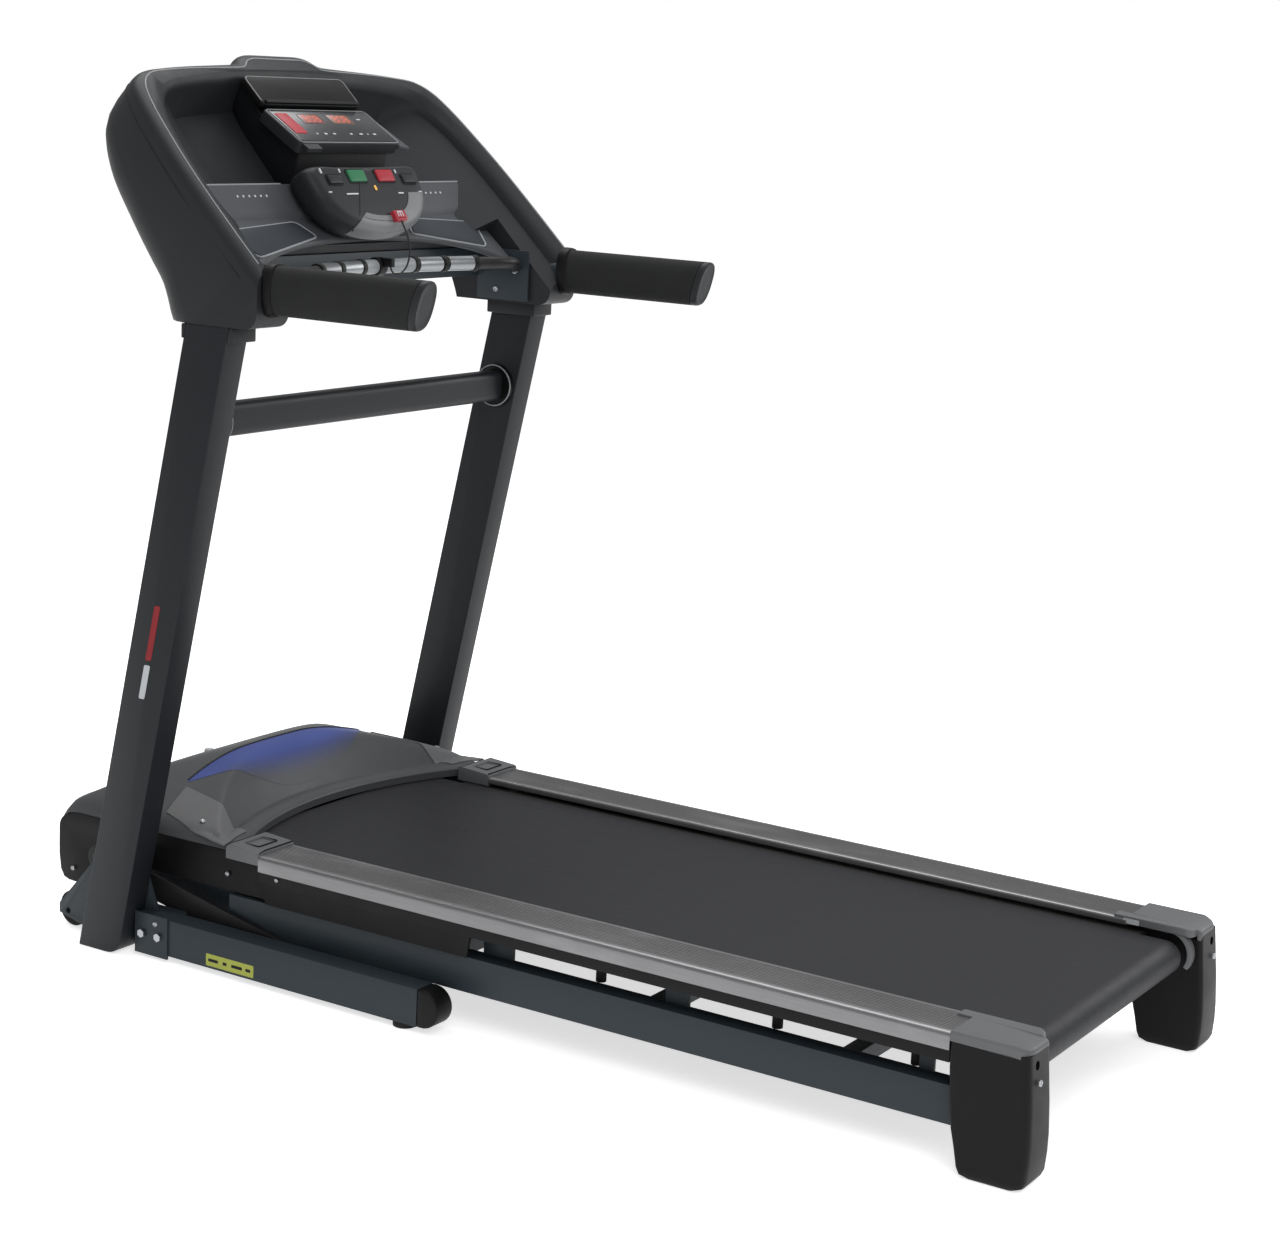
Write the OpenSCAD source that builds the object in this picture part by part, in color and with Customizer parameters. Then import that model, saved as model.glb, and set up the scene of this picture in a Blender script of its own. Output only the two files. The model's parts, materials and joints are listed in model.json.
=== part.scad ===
// Folding motorised treadmill with powered incline.
// Frame: +X to the runner's right, +Y from the tail to the nose, +Z up,
// origin on the floor in the middle of the footprint. Millimetres.
// Every sub-part is drawn in stations measured from the tail, then moved to that origin.

/* [Overall] */
// Length from the tail of the rear feet to the nose of the hood
length = 1786; // [1780:1:1795]
// Height of the console crest above the floor
height = 1449; // [1440:1:1460]

/* [Deck] */
// Half of the width over the side rails
rail_out = 359; // [356:1:360]
// Half of the clear width between the side rails
rail_in = 270; // [266:1:274]
// Height of the top of the side rails
rail_z = 198; // [196:1:200]
// Width of the running belt
belt_w = 508; // [500:2:520]
// Outer radius of both rollers
roller_r = 25; // [22:1:26]
// Station of the front roller
front_roller_y = 1470; // [1465:1:1475]
// Station of the rear roller
rear_roller_y = 57; // [55:1:60]

/* [Uprights] */
// Half of the gap between the uprights
mast_in = 380; // [378:1:384]
// Width of an upright tube
mast_w = 49; // [44:1:52]
// Depth of an upright tube
mast_d = 85; // [80:1:90]
// Lean of the uprights towards the runner, degrees
mast_lean = 11.7; // [11:0.1:12.4]
// Height of the crossbar's centre
bar_z = 884; // [860:1:900]

/* [Handlebars] */
// Distance of a handlebar from the middle
grip_x = 394; // [392:1:396]
// Height of the handlebars' centre line
grip_z = 1096; // [1090:1:1100]

/* [Linkage] */
// Station and height of the fold hinge
fold_y = 1680; // [1678:1:1684]
fold_z = 125; // [124:1:128]
// Station and height of the lift frame's hinge on the base
lift_y = 1250; // [1245:1:1255]
lift_z = 40; // [38:1:42]

/* [Hidden] */

charcoal = [0.13, 0.14, 0.15];
steel_blue = [0.20, 0.23, 0.26];
satin_grey = [0.33, 0.34, 0.36];
black = [0.06, 0.06, 0.07];
silver = [0.62, 0.63, 0.65];

eps = 0.3;                                  // gap kept between moving neighbours
belt_t = 2;                                 // belt thickness
roller_z = 156;                             // height of both roller axes
belt_top = roller_z + roller_r + belt_t;    // running surface
axle_r = 8.5;                               // roller axle radius
fit = 0.05;                                 // radial clearance of a running fit
frame_in = 311;                             // inner face of the deck frame's side tubes
frame_out = 346;                            // outer face of the deck frame's side tubes
frame_lo = 62;                              // underside of the deck frame's side tubes
frame_hi = 118;                             // top of the deck frame's side tubes
board_lo = 163;                             // underside of the deck board
shaft_r = 12;                               // fold hinge shaft radius
base_in = 362;                              // inner face of the base's side tubes
base_out = 402;                             // outer face of the base's side tubes
mast_wall = 3;                              // wall of the upright tubes
mast_y0 = 1654;                             // station of the uprights' front edge at the floor
mast_h = 1035.7;                            // height of the top of the uprights
motor_y = 1592;                             // station of the drive motor shaft
motor_z = 200;                              // height of the drive motor shaft
front_pulley_r = 30;                        // belt pulley on the front roller
motor_pulley_r = 15;                        // belt pulley on the motor shaft
pulley_x = 285;                             // distance of both pulleys from the middle
gas_x = 90;                                 // gas spring plane
gas_a = [1580, 70];                         // gas spring pivot on the fold frame
gas_b = [1000, 75];                         // gas spring eye under the deck
screw_x = -60;                              // incline actuator plane
screw_m = [1530, 45];                       // actuator pivot on the base
screw_n = [1300, 100];                      // actuator eye on the lift frame

function mast_front(z) = mast_y0 - z * tan(mast_lean);

// ---- placing helpers -------------------------------------------------------

// Moves a piece drawn in stations from the tail to the model's origin
module from_tail() translate([0, -length / 2, 0]) children();

// Both sides of the machine
module both_sides() { children(); mirror([1, 0, 0]) children(); }

// Extrudes a (station, height) outline across the machine from x0 to x1
module across(x0, x1) translate([x0, 0, 0]) rotate([90, 0, 90]) linear_extrude(x1 - x0) children();

// Round bar along X through a (station, height) point
module bar_x(x0, x1, p, r) translate([x0, p[0], p[1]]) rotate([0, 90, 0]) cylinder(h = x1 - x0, r = r, $fn = 48);

// Block between two corners
module block(a, b) translate(a) cube(b - a);

// Rectangular tube running along Y
module tube_y(x0, x1, y0, y1, z0, z1, t) difference() {
    block([x0, y0, z0], [x1, y1, z1]);
    block([x0 + t, y0 - 1, z0 + t], [x1 - t, y1 + 1, z1 - t]);
}

// Rectangle with round corners, centred
module rounded(w, h, r) hull() for (x = [-1, 1], y = [-1, 1])
    translate([x * (w / 2 - r), y * (h / 2 - r)]) circle(r, $fn = 24);

// Frame whose Z axis runs from point a to point b, both (station, height)
module along(a, b) translate([0, a[0], a[1]]) rotate([-atan2(b[0] - a[0], b[1] - a[1]), 0, 0]) children();

// Frame tilted back by the given angle about a (station, height) point
module tilted(p, angle) translate([0, p[0], p[1]]) rotate([angle, 0, 0]) children();

// Hexagon-headed bolt pointing along +Z, head up
module bolt(r, len) {
    cylinder(h = len, r = r, $fn = 24);
    translate([0, 0, len]) cylinder(h = r * 1.2, r = r * 1.8, $fn = 6);
}

// ---- base, fixed to the floor ------------------------------------------------

module base_side() {
    tube_y(base_in, base_out, 985, 1552, 10, 70, 2.5);
    block([358, 1483, 5], [base_in, 1552, 74]);
    block([base_out, 1483, 5], [406, 1552, 74]);
    // side plate that carries the upright
    difference() {
        across(374, mast_in - eps) polygon([[1500, 5], [1665, 5], [1745, 24], [1745, 40], [1650, 150], [1560, 150]]);
        bar_x(370, 384, [1725, 30], 5);
    }
}

module base_frame() color(steel_blue) from_tail() {
    difference() {
        union() {
            both_sides() base_side();
            difference() {
                block([-374, 1545, 12], [374, 1580, 50]);
                block([-373, 1548, 15], [373, 1577, 47]);
            }
        }
        both_sides() bar_x(base_in - 1, base_in + 12, [lift_y, lift_z], 10 + fit);
        both_sides() translate([382, 1020, 0]) cylinder(h = 20, r = 4, $fn = 24);
    }
    // actuator ears
    for (x = [screw_x - 30, screw_x + 24]) difference() {
        across(x, x + 6) polygon([[1545, 25], [1512, 35], [1512, 58], [1545, 50]]);
        bar_x(x - 1, x + 7, screw_m, 6 + fit);
    }
}

module base_end_caps() color(black) from_tail() both_sides() difference() {
    hull() {
        bar_x(base_in, base_out, [976, 40], 30);
        block([base_in, 984, 10], [base_out, 985, 70]);
    }
    block([base_in - 1, 985 - eps, 0], [base_out + 1, 1010, 80]);
}

module leveling_feet() color(black) from_tail() both_sides() {
    translate([382, 1020, 0]) cylinder(h = 9.7, r = 19, $fn = 48);
    translate([382, 1020, 9]) cylinder(h = 30, r = 3.9, $fn = 24);
    translate([367, 1560, 0]) cylinder(h = 11.7, r = 6, $fn = 36);
}

module base_bolts() color(silver) from_tail() both_sides() {
    for (p = [[1585, 110], [1615, 60]]) translate([374, p[0], p[1]]) rotate([0, -90, 0]) bolt(5, 1);
    for (y = [1500, 1535]) translate([406, y, 40]) rotate([0, 90, 0]) bolt(4, 1);
}

// One upright: a leaning rectangular tube cut level at the floor and at its top
module upright() difference() {
    across(mast_in, mast_in + mast_w) polygon([[mast_front(0), 0], [mast_front(mast_h), mast_h],
        [mast_front(mast_h) - mast_d, mast_h], [mast_front(0) - mast_d, 0]]);
    across(mast_in + mast_wall, mast_in + mast_w - mast_wall) polygon([
        [mast_front(-1) - mast_wall, -1], [mast_front(mast_h + 1) - mast_wall, mast_h + 1],
        [mast_front(mast_h + 1) - mast_d + mast_wall, mast_h + 1], [mast_front(-1) - mast_d + mast_wall, -1]]);
}

module upright_left() color(charcoal) from_tail() mirror([1, 0, 0]) upright();

module upright_right() color(charcoal) from_tail() upright();

module crossbar() color(charcoal) from_tail() {
    mid = mast_front(bar_z) - mast_d / 2;
    difference() {
        across(-mast_in, mast_in) translate([mid, bar_z]) rounded(36, 53, 8);
        across(-mast_in + 6, mast_in - 6) translate([mid, bar_z]) rounded(31, 48, 6);
    }
}

module crossbar_collars() color(black) from_tail() both_sides() {
    mid = mast_front(bar_z) - mast_d / 2;
    difference() {
        bar_x(mast_in - 10, mast_in - eps, [mid, bar_z], 38);
        across(mast_in - 11, mast_in + 1) translate([mid, bar_z]) rounded(36.6, 53.6, 8);
    }
}

// ---- transport wheels -------------------------------------------------------

wheel_c = [1725, 31];

module wheel_brackets() color(black) from_tail() both_sides() {
    bar_x(343, 374, wheel_c, 5);
    bar_x(341, 344, wheel_c, 9);
}

module wheel() difference() {
    union() {
        bar_x(347, 369, wheel_c, 30);
        bar_x(346, 371, wheel_c, 12);
    }
    bar_x(340, 380, wheel_c, 5 + fit);
}

module transport_wheel_left() color(black) from_tail() mirror([1, 0, 0]) wheel();

module transport_wheel_right() color(black) from_tail() wheel();

// ---- console ----------------------------------------------------------------

rim_low = [1307, 1127];         // lower end of the tilted rim
rim_tilt = 43.5;                // slope of the rim
shell_side = 429;               // half-width of the shell at its foot

// Side outline of the console shell
module shell_side_2d() polygon([[1300, 1124], [1303, 1046], [1318, 1036], [1440, 1036], [1466, 1052],
    [1508, 1150], [1606, 1268], [1650, 1340], [1672, 1395], [1668, 1425], [1645, height], [1620, height],
    [1307, 1137]]);

// Arch that the rim follows, x across and y up the slope
module arch_2d() polygon([[-shell_side, -110], [-shell_side, 110], [-421, 200], [-404, 330], [-383, 385],
    [-352, 412], [-250, 428], [-108, 438], [-72, 462], [72, 462], [108, 438], [250, 428], [352, 412],
    [383, 385], [404, 330], [421, 200], [shell_side, 110], [shell_side, -110]]);

module recess_2d() polygon([[-388, -60], [-388, 60], [-376, 260], [-356, 350], [-310, 386], [-150, 402],
    [150, 402], [310, 386], [356, 350], [376, 260], [388, 60], [388, -60]]);

module on_rim() tilted(rim_low, rim_tilt) children();

module console_shell() color(charcoal) from_tail() difference() {
    intersection() {
        across(-shell_side, shell_side) shell_side_2d();
        on_rim() translate([0, 0, -330]) linear_extrude(360) arch_2d();
    }
    // open well between the side panels
    on_rim() translate([0, 0, -75]) linear_extrude(120) recess_2d();
    // the middle stands clear of the runner's side below the tray
    across(-352, 352) polygon([[1250, 1000], [1250, 1130], [1395, 1212], [1452, 1130], [1452, 1000]]);
    // inside of the back shell
    across(-352, 352) polygon([[1472, 1000], [1478, 1110], [1500, 1160], [1590, 1268], [1572, 1290],
        [1448, 1170], [1440, 1000]]);
    // pockets in the side legs for the upright tops and brackets
    both_sides() across(mast_in - 9, mast_in + mast_w - mast_wall + eps) polygon([[1331, 1000], [1331, 1085],
        [1448, 1085], [1448, 1060], [1438, 1000]]);
    // handlebar sockets
    both_sides() translate([grip_x, 1290, grip_z]) rotate([-90, 0, 0]) cylinder(h = 40, r = 17.5, $fn = 48);
}

module upright_boots() color(black) from_tail() both_sides() {
    y1 = mast_front(1024);
    difference() {
        block([mast_in - 8, y1 - mast_d - 9, 1013], [mast_in + mast_w - 0.5, y1 + 7, 1035.5]);
        across(mast_in - 0.5, mast_in + mast_w + 1) polygon([
            [mast_front(1000) + 0.5, 1000], [mast_front(1050) + 0.5, 1050],
            [mast_front(1050) - mast_d - 0.5, 1050], [mast_front(1000) - mast_d - 0.5, 1000]]);
    }
}

module console_bracket() color(satin_grey) from_tail() {
    // plate behind the tray with a cheek at each end
    block([-349, 1452.5, 1078], [349, 1456, 1128]);
    both_sides() block([345.5, 1345, 1040], [349, 1453, 1128]);
    // spigot that joins each upright to the console
    both_sides() difference() {
        spigot(mast_wall, 985, 1084);
        spigot(mast_wall + 2.5, 984, 1085);
    }
}

// Leaning block that fits inside an upright with the given wall
module spigot(wall, z0, z1) across(mast_in + wall, mast_in + mast_w - wall) polygon([
    [mast_front(z0) - wall, z0], [mast_front(z1) - wall, z1],
    [mast_front(z1) - mast_d + wall, z1], [mast_front(z0) - mast_d + wall, z0]]);

module console_tray() color(satin_grey) from_tail() difference() {
    union() {
        // arched tray floor between the side panels
        difference() {
            tilted([1401, 1129], 40) translate([0, 0, -6]) linear_extrude(12)
                polygon([[-344, -38], [-275, 2], [-190, 24], [-104, 34], [0, 38], [104, 34], [190, 24],
                         [275, 2], [344, -38], [344, 95], [-344, 95]]);
            // pad recesses
            both_sides() tilted([1401, 1129], 40) translate([0, 0, 4]) linear_extrude(3)
                polygon([[285, 14], [120, 46], [150, 82], [305, 60]]);
        }
        // raised step with the vent slots
        tilted([1470, 1193], 62) translate([-344, 0, -3]) cube([688, 52, 6]);
    }
    for (side = [-1, 1], i = [0:5]) tilted([1470, 1193], 62)
        translate([side * (196 + i * 14), 30, -4]) cylinder(h = 8, r = 2, $fn = 24);
    // seat of the keypad housing
    on_pod() translate([0, 0, -60]) linear_extrude(120) scale([1.004, 1.01]) pod_2d();
}

module reading_rack() color(black) from_tail()
    tilted([1557, 1356], 44) translate([0, 30, 0]) linear_extrude(10) rounded(254, 64, 10);

module display_panel() color(charcoal) from_tail() difference() {
    tilted([1469, 1302], 31.7) translate([0, 47, -16]) linear_extrude(20) rounded(262, 96, 8);
    for (w = display_slots) tilted([1469, 1302], 31.7) translate([w[0], w[1], 2]) block([0, 0, 0], [w[2], w[3], 3]);
    tilted([1469, 1302], 31.7) translate([-112, 18, -14]) cube([224, 62, 11]);
}

// Windows of the display: x, y, width and height on the panel
display_slots = [[-118, 34, 40, 44], [-54, 56, 44, 18], [14, 56, 46, 18]];

module display_windows() color([0.5, 0.08, 0.05]) from_tail() for (w = display_slots)
    tilted([1469, 1302], 31.7) translate([w[0], w[1], 2]) block([0, 0, 0], [w[2], w[3], 1.6]);

module console_board() color([0.05, 0.3, 0.12]) from_tail()
    tilted([1469, 1302], 31.7) translate([-105, 22, -12]) cube([210, 54, 2]);

// Keypad housing under the display: a rounded block that bulges towards the runner
pod_p = [1430, 1208];
pod_tilt = 58;

module on_pod() tilted(pod_p, pod_tilt) children();

module pod_2d() polygon([[-146, 62], [-140, 10], [-112, -28], [-60, -50], [0, -57], [60, -50], [112, -28],
    [140, 10], [146, 62]]);

module control_pod() color(charcoal) from_tail() difference() {
    on_pod() translate([0, 0, -30]) linear_extrude(52) pod_2d();
    for (k = key_places) on_pod() translate([k[0], k[1], 12]) block([-k[2] / 2 - 0.5, -k[3] / 2 - 0.5, 0],
        [k[2] / 2 + 0.5, k[3] / 2 + 0.5, 12]);
    on_pod() translate([0, 0, 18]) linear_extrude(6) trim_2d(0.3);
    on_pod() translate([28, -36, 2]) cylinder(h = 30, r = 9 + eps, $fn = 36);
}

// Keys on the pod: x, y, width and height
key_places = [[-32, 40, 44, 22], [42, 40, 44, 22], [-92, 34, 34, 16], [102, 34, 34, 16]];

module key(i) from_tail() on_pod() translate([key_places[i][0], key_places[i][1], 15])
    block([-key_places[i][2] / 2, -key_places[i][3] / 2, 0], [key_places[i][2] / 2, key_places[i][3] / 2, 9]);

module trim_2d(gap) polygon([[-14 - gap, -50], [-10 - gap, -18 + gap], [100 + gap, -10 + gap],
    [104 + gap, -31], [60, -49], [20, -54]]);

module pod_trim() color(silver) from_tail() difference() {
    on_pod() translate([0, 0, 18.1]) linear_extrude(5) trim_2d(0);
    on_pod() translate([28, -36, 2]) cylinder(h = 30, r = 9 + eps, $fn = 36);
}

module start_key() color([0.1, 0.5, 0.25]) key(0);

module stop_key() color([0.7, 0.1, 0.1]) key(1);

module adjust_key_left() color(satin_grey) key(2);

module adjust_key_right() color(satin_grey) key(3);

module safety_key() color([0.75, 0.08, 0.08]) from_tail() on_pod() {
    translate([28, -36, 6]) cylinder(h = 18, r = 9, $fn = 36);
    translate([28, -36, 23.5]) linear_extrude(8) rounded(30, 18, 3);
}

// Arched tube along the tray's front edge, bowed away from the runner
pulse_half = 262;               // half of its chord
pulse_bow = 45;                 // how far its middle stands ahead of its ends
pulse_r = (pow(pulse_half, 2) + pow(pulse_bow, 2)) / 2 / pulse_bow;
pulse_end = [1347, 1111];
pulse_span = asin(pulse_half / pulse_r);

// Stretch of the arched tube between two fractions of its half length
module pulse_arc(r, f0, f1) translate([0, pulse_end[0] + pulse_bow - pulse_r, pulse_end[1]])
    rotate([0, 0, 90 - pulse_span * f1])
        rotate_extrude(angle = pulse_span * (f1 - f0), $fn = 96) translate([pulse_r, 0]) circle(r, $fn = 32);

module pulse_bar() color(black) from_tail() pulse_arc(13, -1, 1);

module pulse_grips() color(silver) from_tail() for (a = [[-0.78, -0.56], [-0.5, -0.28], [0.28, 0.5], [0.56, 0.78]])
    difference() {
        pulse_arc(15, a[0], a[1]);
        pulse_arc(13.4, a[0] - 0.02, a[1] + 0.02);
    }

module handlebar_tubes() color(steel_blue) from_tail() both_sides()
    translate([grip_x, 1036, grip_z]) rotate([-90, 0, 0]) difference() {
        cylinder(h = 292, r = 17, $fn = 48);
        translate([0, 0, -1]) cylinder(h = 310, r = 14.5, $fn = 48);
    }

// Flat-oval foam grip whose free end is cut on a slant
module grip_solid(y0, y1) difference() {
    translate([grip_x, y1, grip_z]) rotate([90, 0, 0]) linear_extrude(y1 - y0) rounded(44, 75, 21.9);
    across(360, 430) polygon([[960, 1040], [960, 1150], [1000 + y0 - 1004, 1150], [1030 + y0 - 1004, 1040]]);
}

module handlebar_grips() color(black) from_tail() both_sides() difference() {
    grip_solid(1016, 1299);
    translate([grip_x, 990, grip_z]) rotate([-90, 0, 0]) cylinder(h = 340, r = 17 + fit, $fn = 48);
}

module handlebar_caps() color(charcoal) from_tail() both_sides() difference() {
    grip_solid(1003, 1080);
    across(360, 430) polygon([[1011.7, 1150], [1041.7, 1040], [1200, 1040], [1200, 1150]]);
}

// Tether: a thin cord from the safety key down to the clip on the pulse bar
tether_r = 1.5;
tether = [[28, 1382, 1184], [28, 1378, 1177], [28, 1373, 1168], [28, 1368, 1158], [27, 1364, 1148],
          [25, 1361, 1138], [22, 1360, 1128], [18, 1359, 1119], [13, 1359, 1111], [7, 1360, 1105],
          [0, 1361, 1101], [-7, 1362, 1100], [-13, 1363, 1101], [-18, 1364, 1105], [-20, 1365, 1110],
          [-20, 1365, 1116]];

function unit(v) = v / norm(v);
function heading(p, i) = unit(p[min(i + 1, len(p) - 1)] - p[max(i - 1, 0)]);
function ring(p, i, r, n) = let (t = heading(p, i), u = unit(cross(t, [0.2, 1, 0.1])), v = cross(t, u))
    [for (k = [0:n - 1]) p[i] + r * (cos(360 * k / n) * u + sin(360 * k / n) * v)];

// Round cord swept along a list of points
module sweep(p, r, n) polyhedron(
    points = [for (i = [0:len(p) - 1]) each ring(p, i, r, n)],
    faces = concat([[for (k = [0:n - 1]) k]],
        [for (i = [0:len(p) - 2], k = [0:n - 1]) [i * n + k, (i + 1) * n + k, (i + 1) * n + (k + 1) % n]],
        [for (i = [0:len(p) - 2], k = [0:n - 1]) [i * n + k, (i + 1) * n + (k + 1) % n, i * n + (k + 1) % n]],
        [[for (k = [n - 1:-1:0]) (len(p) - 1) * n + k]]));

module lanyard() color(black) from_tail() sweep(tether, tether_r, 8);

module lanyard_clip() color(black) from_tail() difference() {
    union() {
        pulse_arc(18, -0.115, -0.045);
        translate([-25, 1360, 1116]) cube([10, 26, 10]);
    }
    pulse_arc(13.4, -0.2, 0.1);
}

// ---- lifting linkage ----------------------------------------------------------

module lift_frame() color(black) from_tail() {
    p = [lift_y, lift_z];
    q = [fold_y, fold_z];
    both_sides() {
        difference() {
            hull() {
                bar_x(349.5, 357.5, p, 20);
                bar_x(349.5, 357.5, q, 22);
            }
            bar_x(345, 360, q, shaft_r + fit);
        }
        bar_x(357.5, base_in + 11, p, 10);
    }
    difference() {
        bar_x(-349.5, 349.5, p, 16);
        bar_x(-348, 348, p, 13);
    }
    // lever that the incline screw pushes
    difference() {
        hull() {
            bar_x(screw_x - 4, screw_x + 4, p, 18);
            bar_x(screw_x - 4, screw_x + 4, screw_n, 11);
        }
        bar_x(screw_x - 5, screw_x + 5, screw_n, 7);
    }
}

module fold_frame() color(steel_blue) from_tail() {
    q = [fold_y, fold_z];
    bar_x(-360, 360, q, shaft_r);
    // arm that anchors the gas spring
    difference() {
        hull() {
            bar_x(gas_x - 22, gas_x - 16, q, 16);
            bar_x(gas_x - 22, gas_x - 16, gas_a, 12);
        }
        bar_x(gas_x - 25, gas_x - 10, gas_a, 5 + fit);
    }
}

module gas_cylinder() color(black) from_tail() {
    translate([gas_x, 0, 0]) along(gas_a, gas_b) difference() {
        translate([0, 0, 14]) cylinder(h = 300, r = 13, $fn = 48);
        translate([0, 0, 40]) cylinder(h = 275, r = 4 + fit, $fn = 36);
    }
    bar_x(gas_x - 8, gas_x + 8, gas_a, 15);
    bar_x(gas_x - 24, gas_x - 8, gas_a, 5);
}

module gas_rod() color(silver) from_tail() {
    translate([gas_x, 0, 0]) along(gas_a, gas_b) translate([0, 0, 160])
        cylinder(h = norm(gas_b - gas_a) - 172, r = 4, $fn = 36);
    difference() {
        bar_x(gas_x - 7, gas_x + 7, gas_b, 13);
        bar_x(gas_x - 8, gas_x + 8, gas_b, 5);
    }
}

module incline_motor() color(black) from_tail() {
    translate([screw_x, 0, 0]) along(screw_m, screw_n) difference() {
        union() {
            translate([0, 0, 10]) cylinder(h = 88, r = 22, $fn = 48);
            translate([-14, -14, 98]) cube([28, 28, 16]);
            translate([0, 0, 114]) cylinder(h = 60, r = 11, $fn = 48);
        }
        translate([0, 0, 90]) cylinder(h = 90, r = 7 + fit, $fn = 36);
    }
    bar_x(screw_x - 11, screw_x + 11, screw_m, 14);
    bar_x(screw_x - 30, screw_x + 30, screw_m, 6);
}

module incline_screw() color(silver) from_tail() {
    translate([screw_x, 0, 0]) along(screw_m, screw_n) translate([0, 0, 95])
        cylinder(h = norm(screw_n - screw_m) - 110, r = 7, $fn = 36);
    // fork that straddles the lever
    for (x = [screw_x - 12, screw_x + 6]) difference() {
        bar_x(x, x + 6, screw_n, 14);
        bar_x(x - 1, x + 7, screw_n, 5);
    }
    translate([screw_x, 0, 0]) along(screw_m, screw_n) translate([-12, -10, norm(screw_n - screw_m) - 22])
        difference() {
            cube([24, 20, 16]);
            translate([7.4, -1, 8]) cube([9.2, 22, 20]);
        }
}

// ---- deck, folds up as one -----------------------------------------------------

cross_y = [300, 620, 1000, 1180, 1410];      // stations of the deck frame's crossmembers
cross_lo = 90;                               // underside and top of the crossmembers
cross_hi = 114;
post_y = [[60, 125], [167, 190], [560, 600], [870, 925], [1150, 1390]];   // uprights from frame to rail

module deck_frame() color(steel_blue) from_tail() {
    difference() {
        union() {
            both_sides() {
                tube_y(frame_in, frame_out, 60, 1405, frame_lo, frame_hi, 2);
                for (s = post_y) block([frame_in, s[0], frame_hi - 1], [frame_in + 5, s[1], board_lo - eps]);
                // side plate up to the fold hinge
                across(frame_in, frame_in + 5) polygon([[1395, 64], [1640, 80], [1702, 104], [1702, 149],
                    [1640, 152], [1395, 180]]);
                block([frame_in + 1, 1396, frame_lo], [frame_out, 1405, frame_hi]);
            }
            for (y = cross_y) difference() {
                block([-frame_in, y - 14, cross_lo], [frame_in, y + 14, cross_hi]);
                block([-frame_in + 1, y - 12, cross_lo + 2], [frame_in - 1, y + 12, cross_hi - 2]);
            }
            difference() {
                block([-frame_in, 1500, 144], [frame_in, 1655, 147]);
                block([pulley_x - 16, 1499, 140], [frame_in - 5, 1540, 150]);
            }
        }
        both_sides() bar_x(frame_in - 1, frame_in + 9, [fold_y, fold_z], shaft_r + fit);
        both_sides() bar_x(frame_in - 1, frame_in + 13, [front_roller_y, roller_z], axle_r + fit);
        both_sides() bar_x(frame_in - 1, frame_in + 13, [rear_roller_y, roller_z], axle_r + 6);
    }
    // plate beside the gas spring's eye
    block([gas_x + 13, 987, 58], [gas_x + 19, 1013, cross_lo + 1]);
}

module deck_board() color([0.35, 0.27, 0.2]) from_tail()
    block([-308, 100, board_lo], [308, 1385, board_lo + 18]);

module deck_cushions() color(black) from_tail() both_sides()
    for (y = [200, 420, 720, 1060, 1340]) translate([frame_in - 8, y, frame_hi])
        difference() {
            cylinder(h = board_lo - frame_hi, r = 8, $fn = 36);
            translate([0, 0, -1]) cylinder(h = board_lo, r = 3, $fn = 24);
        }

module belt_loop(r) hull() for (y = [rear_roller_y, front_roller_y]) translate([y, roller_z]) circle(r, $fn = 96);

module running_belt() color([0.1, 0.1, 0.11]) from_tail() across(-belt_w / 2, belt_w / 2) difference() {
    belt_loop(roller_r + belt_t);
    belt_loop(roller_r);
}

// Steel tube with a bearing plug in each end
module roller(y, pulley) {
    end = belt_w / 2 + 6;
    difference() {
        bar_x(-end, end, [y, roller_z], roller_r - eps);
        bar_x(-end + 16, end - 16, [y, roller_z], roller_r - 4);
        bar_x(-end - 1, end + 1, [y, roller_z], axle_r + fit);
    }
    if (pulley) difference() {
        union() {
            bar_x(end, pulley_x - 11, [y, roller_z], 20);
            bar_x(pulley_x - 11, pulley_x + 11, [y, roller_z], front_pulley_r);
        }
        bar_x(end - 2, pulley_x + 12, [y, roller_z], axle_r + fit);
    }
}

module front_roller() color(silver) from_tail() roller(front_roller_y, true);

module rear_roller() color(silver) from_tail() roller(rear_roller_y, false);

module roller_axles() color(silver) from_tail() for (y = [rear_roller_y, front_roller_y])
    bar_x(-frame_in - 12, frame_in + 12, [y, roller_z], axle_r);

rail_y0 = 128;                  // station of the rails' rear end
rail_y1 = 1336;                 // station of the rails' front end

// Side rail: a shallow channel with a rounded outer shoulder and ribs on its tread
module rail_2d() difference() {
    polygon([[rail_in, 187], [rail_in, 194], [rail_in + 4, rail_z], [rail_out - 8, rail_z], [rail_out - 3, 196],
        [rail_out, 191], [rail_out, 172], [rail_out - 3, 172], [rail_out - 3, 186], [frame_in - 3, 186],
        [frame_in - 3, 181.3], [frame_in - 8, 181.3], [frame_in - 8, 187]]);
    for (i = [0:7]) translate([rail_in + 12 + i * 8, rail_z]) circle(0.8, $fn = 16);
}

module rail() translate([0, rail_y1, 0]) rotate([90, 0, 0]) linear_extrude(rail_y1 - rail_y0) rail_2d();

module rail_left() color([0.45, 0.46, 0.48]) from_tail() mirror([1, 0, 0]) rail();

module rail_right() color([0.45, 0.46, 0.48]) from_tail() rail();

module rail_end_plates() color(charcoal) from_tail() both_sides() difference() {
    across(rail_in, rail_out) polygon([[rail_y1 + eps, 182], [rail_y1 + eps, 201],
        [1342, 205], [1396, 207], [1403, 200], [1403, 182]]);
    block([rail_in + 16, 1358, 202], [rail_out - 22, 1386, 210]);
}

// Black skirt under each rail
module side_skirts() color(black) from_tail() both_sides() {
    block([rail_out - 7, rail_y0, 154], [rail_out - 3.3, rail_y1, 185.7]);
    across(rail_out - 9, rail_out - 5) polygon([[930, 120], [1323, 120], [1335, 154.1], [925, 154.1]]);
}

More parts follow.
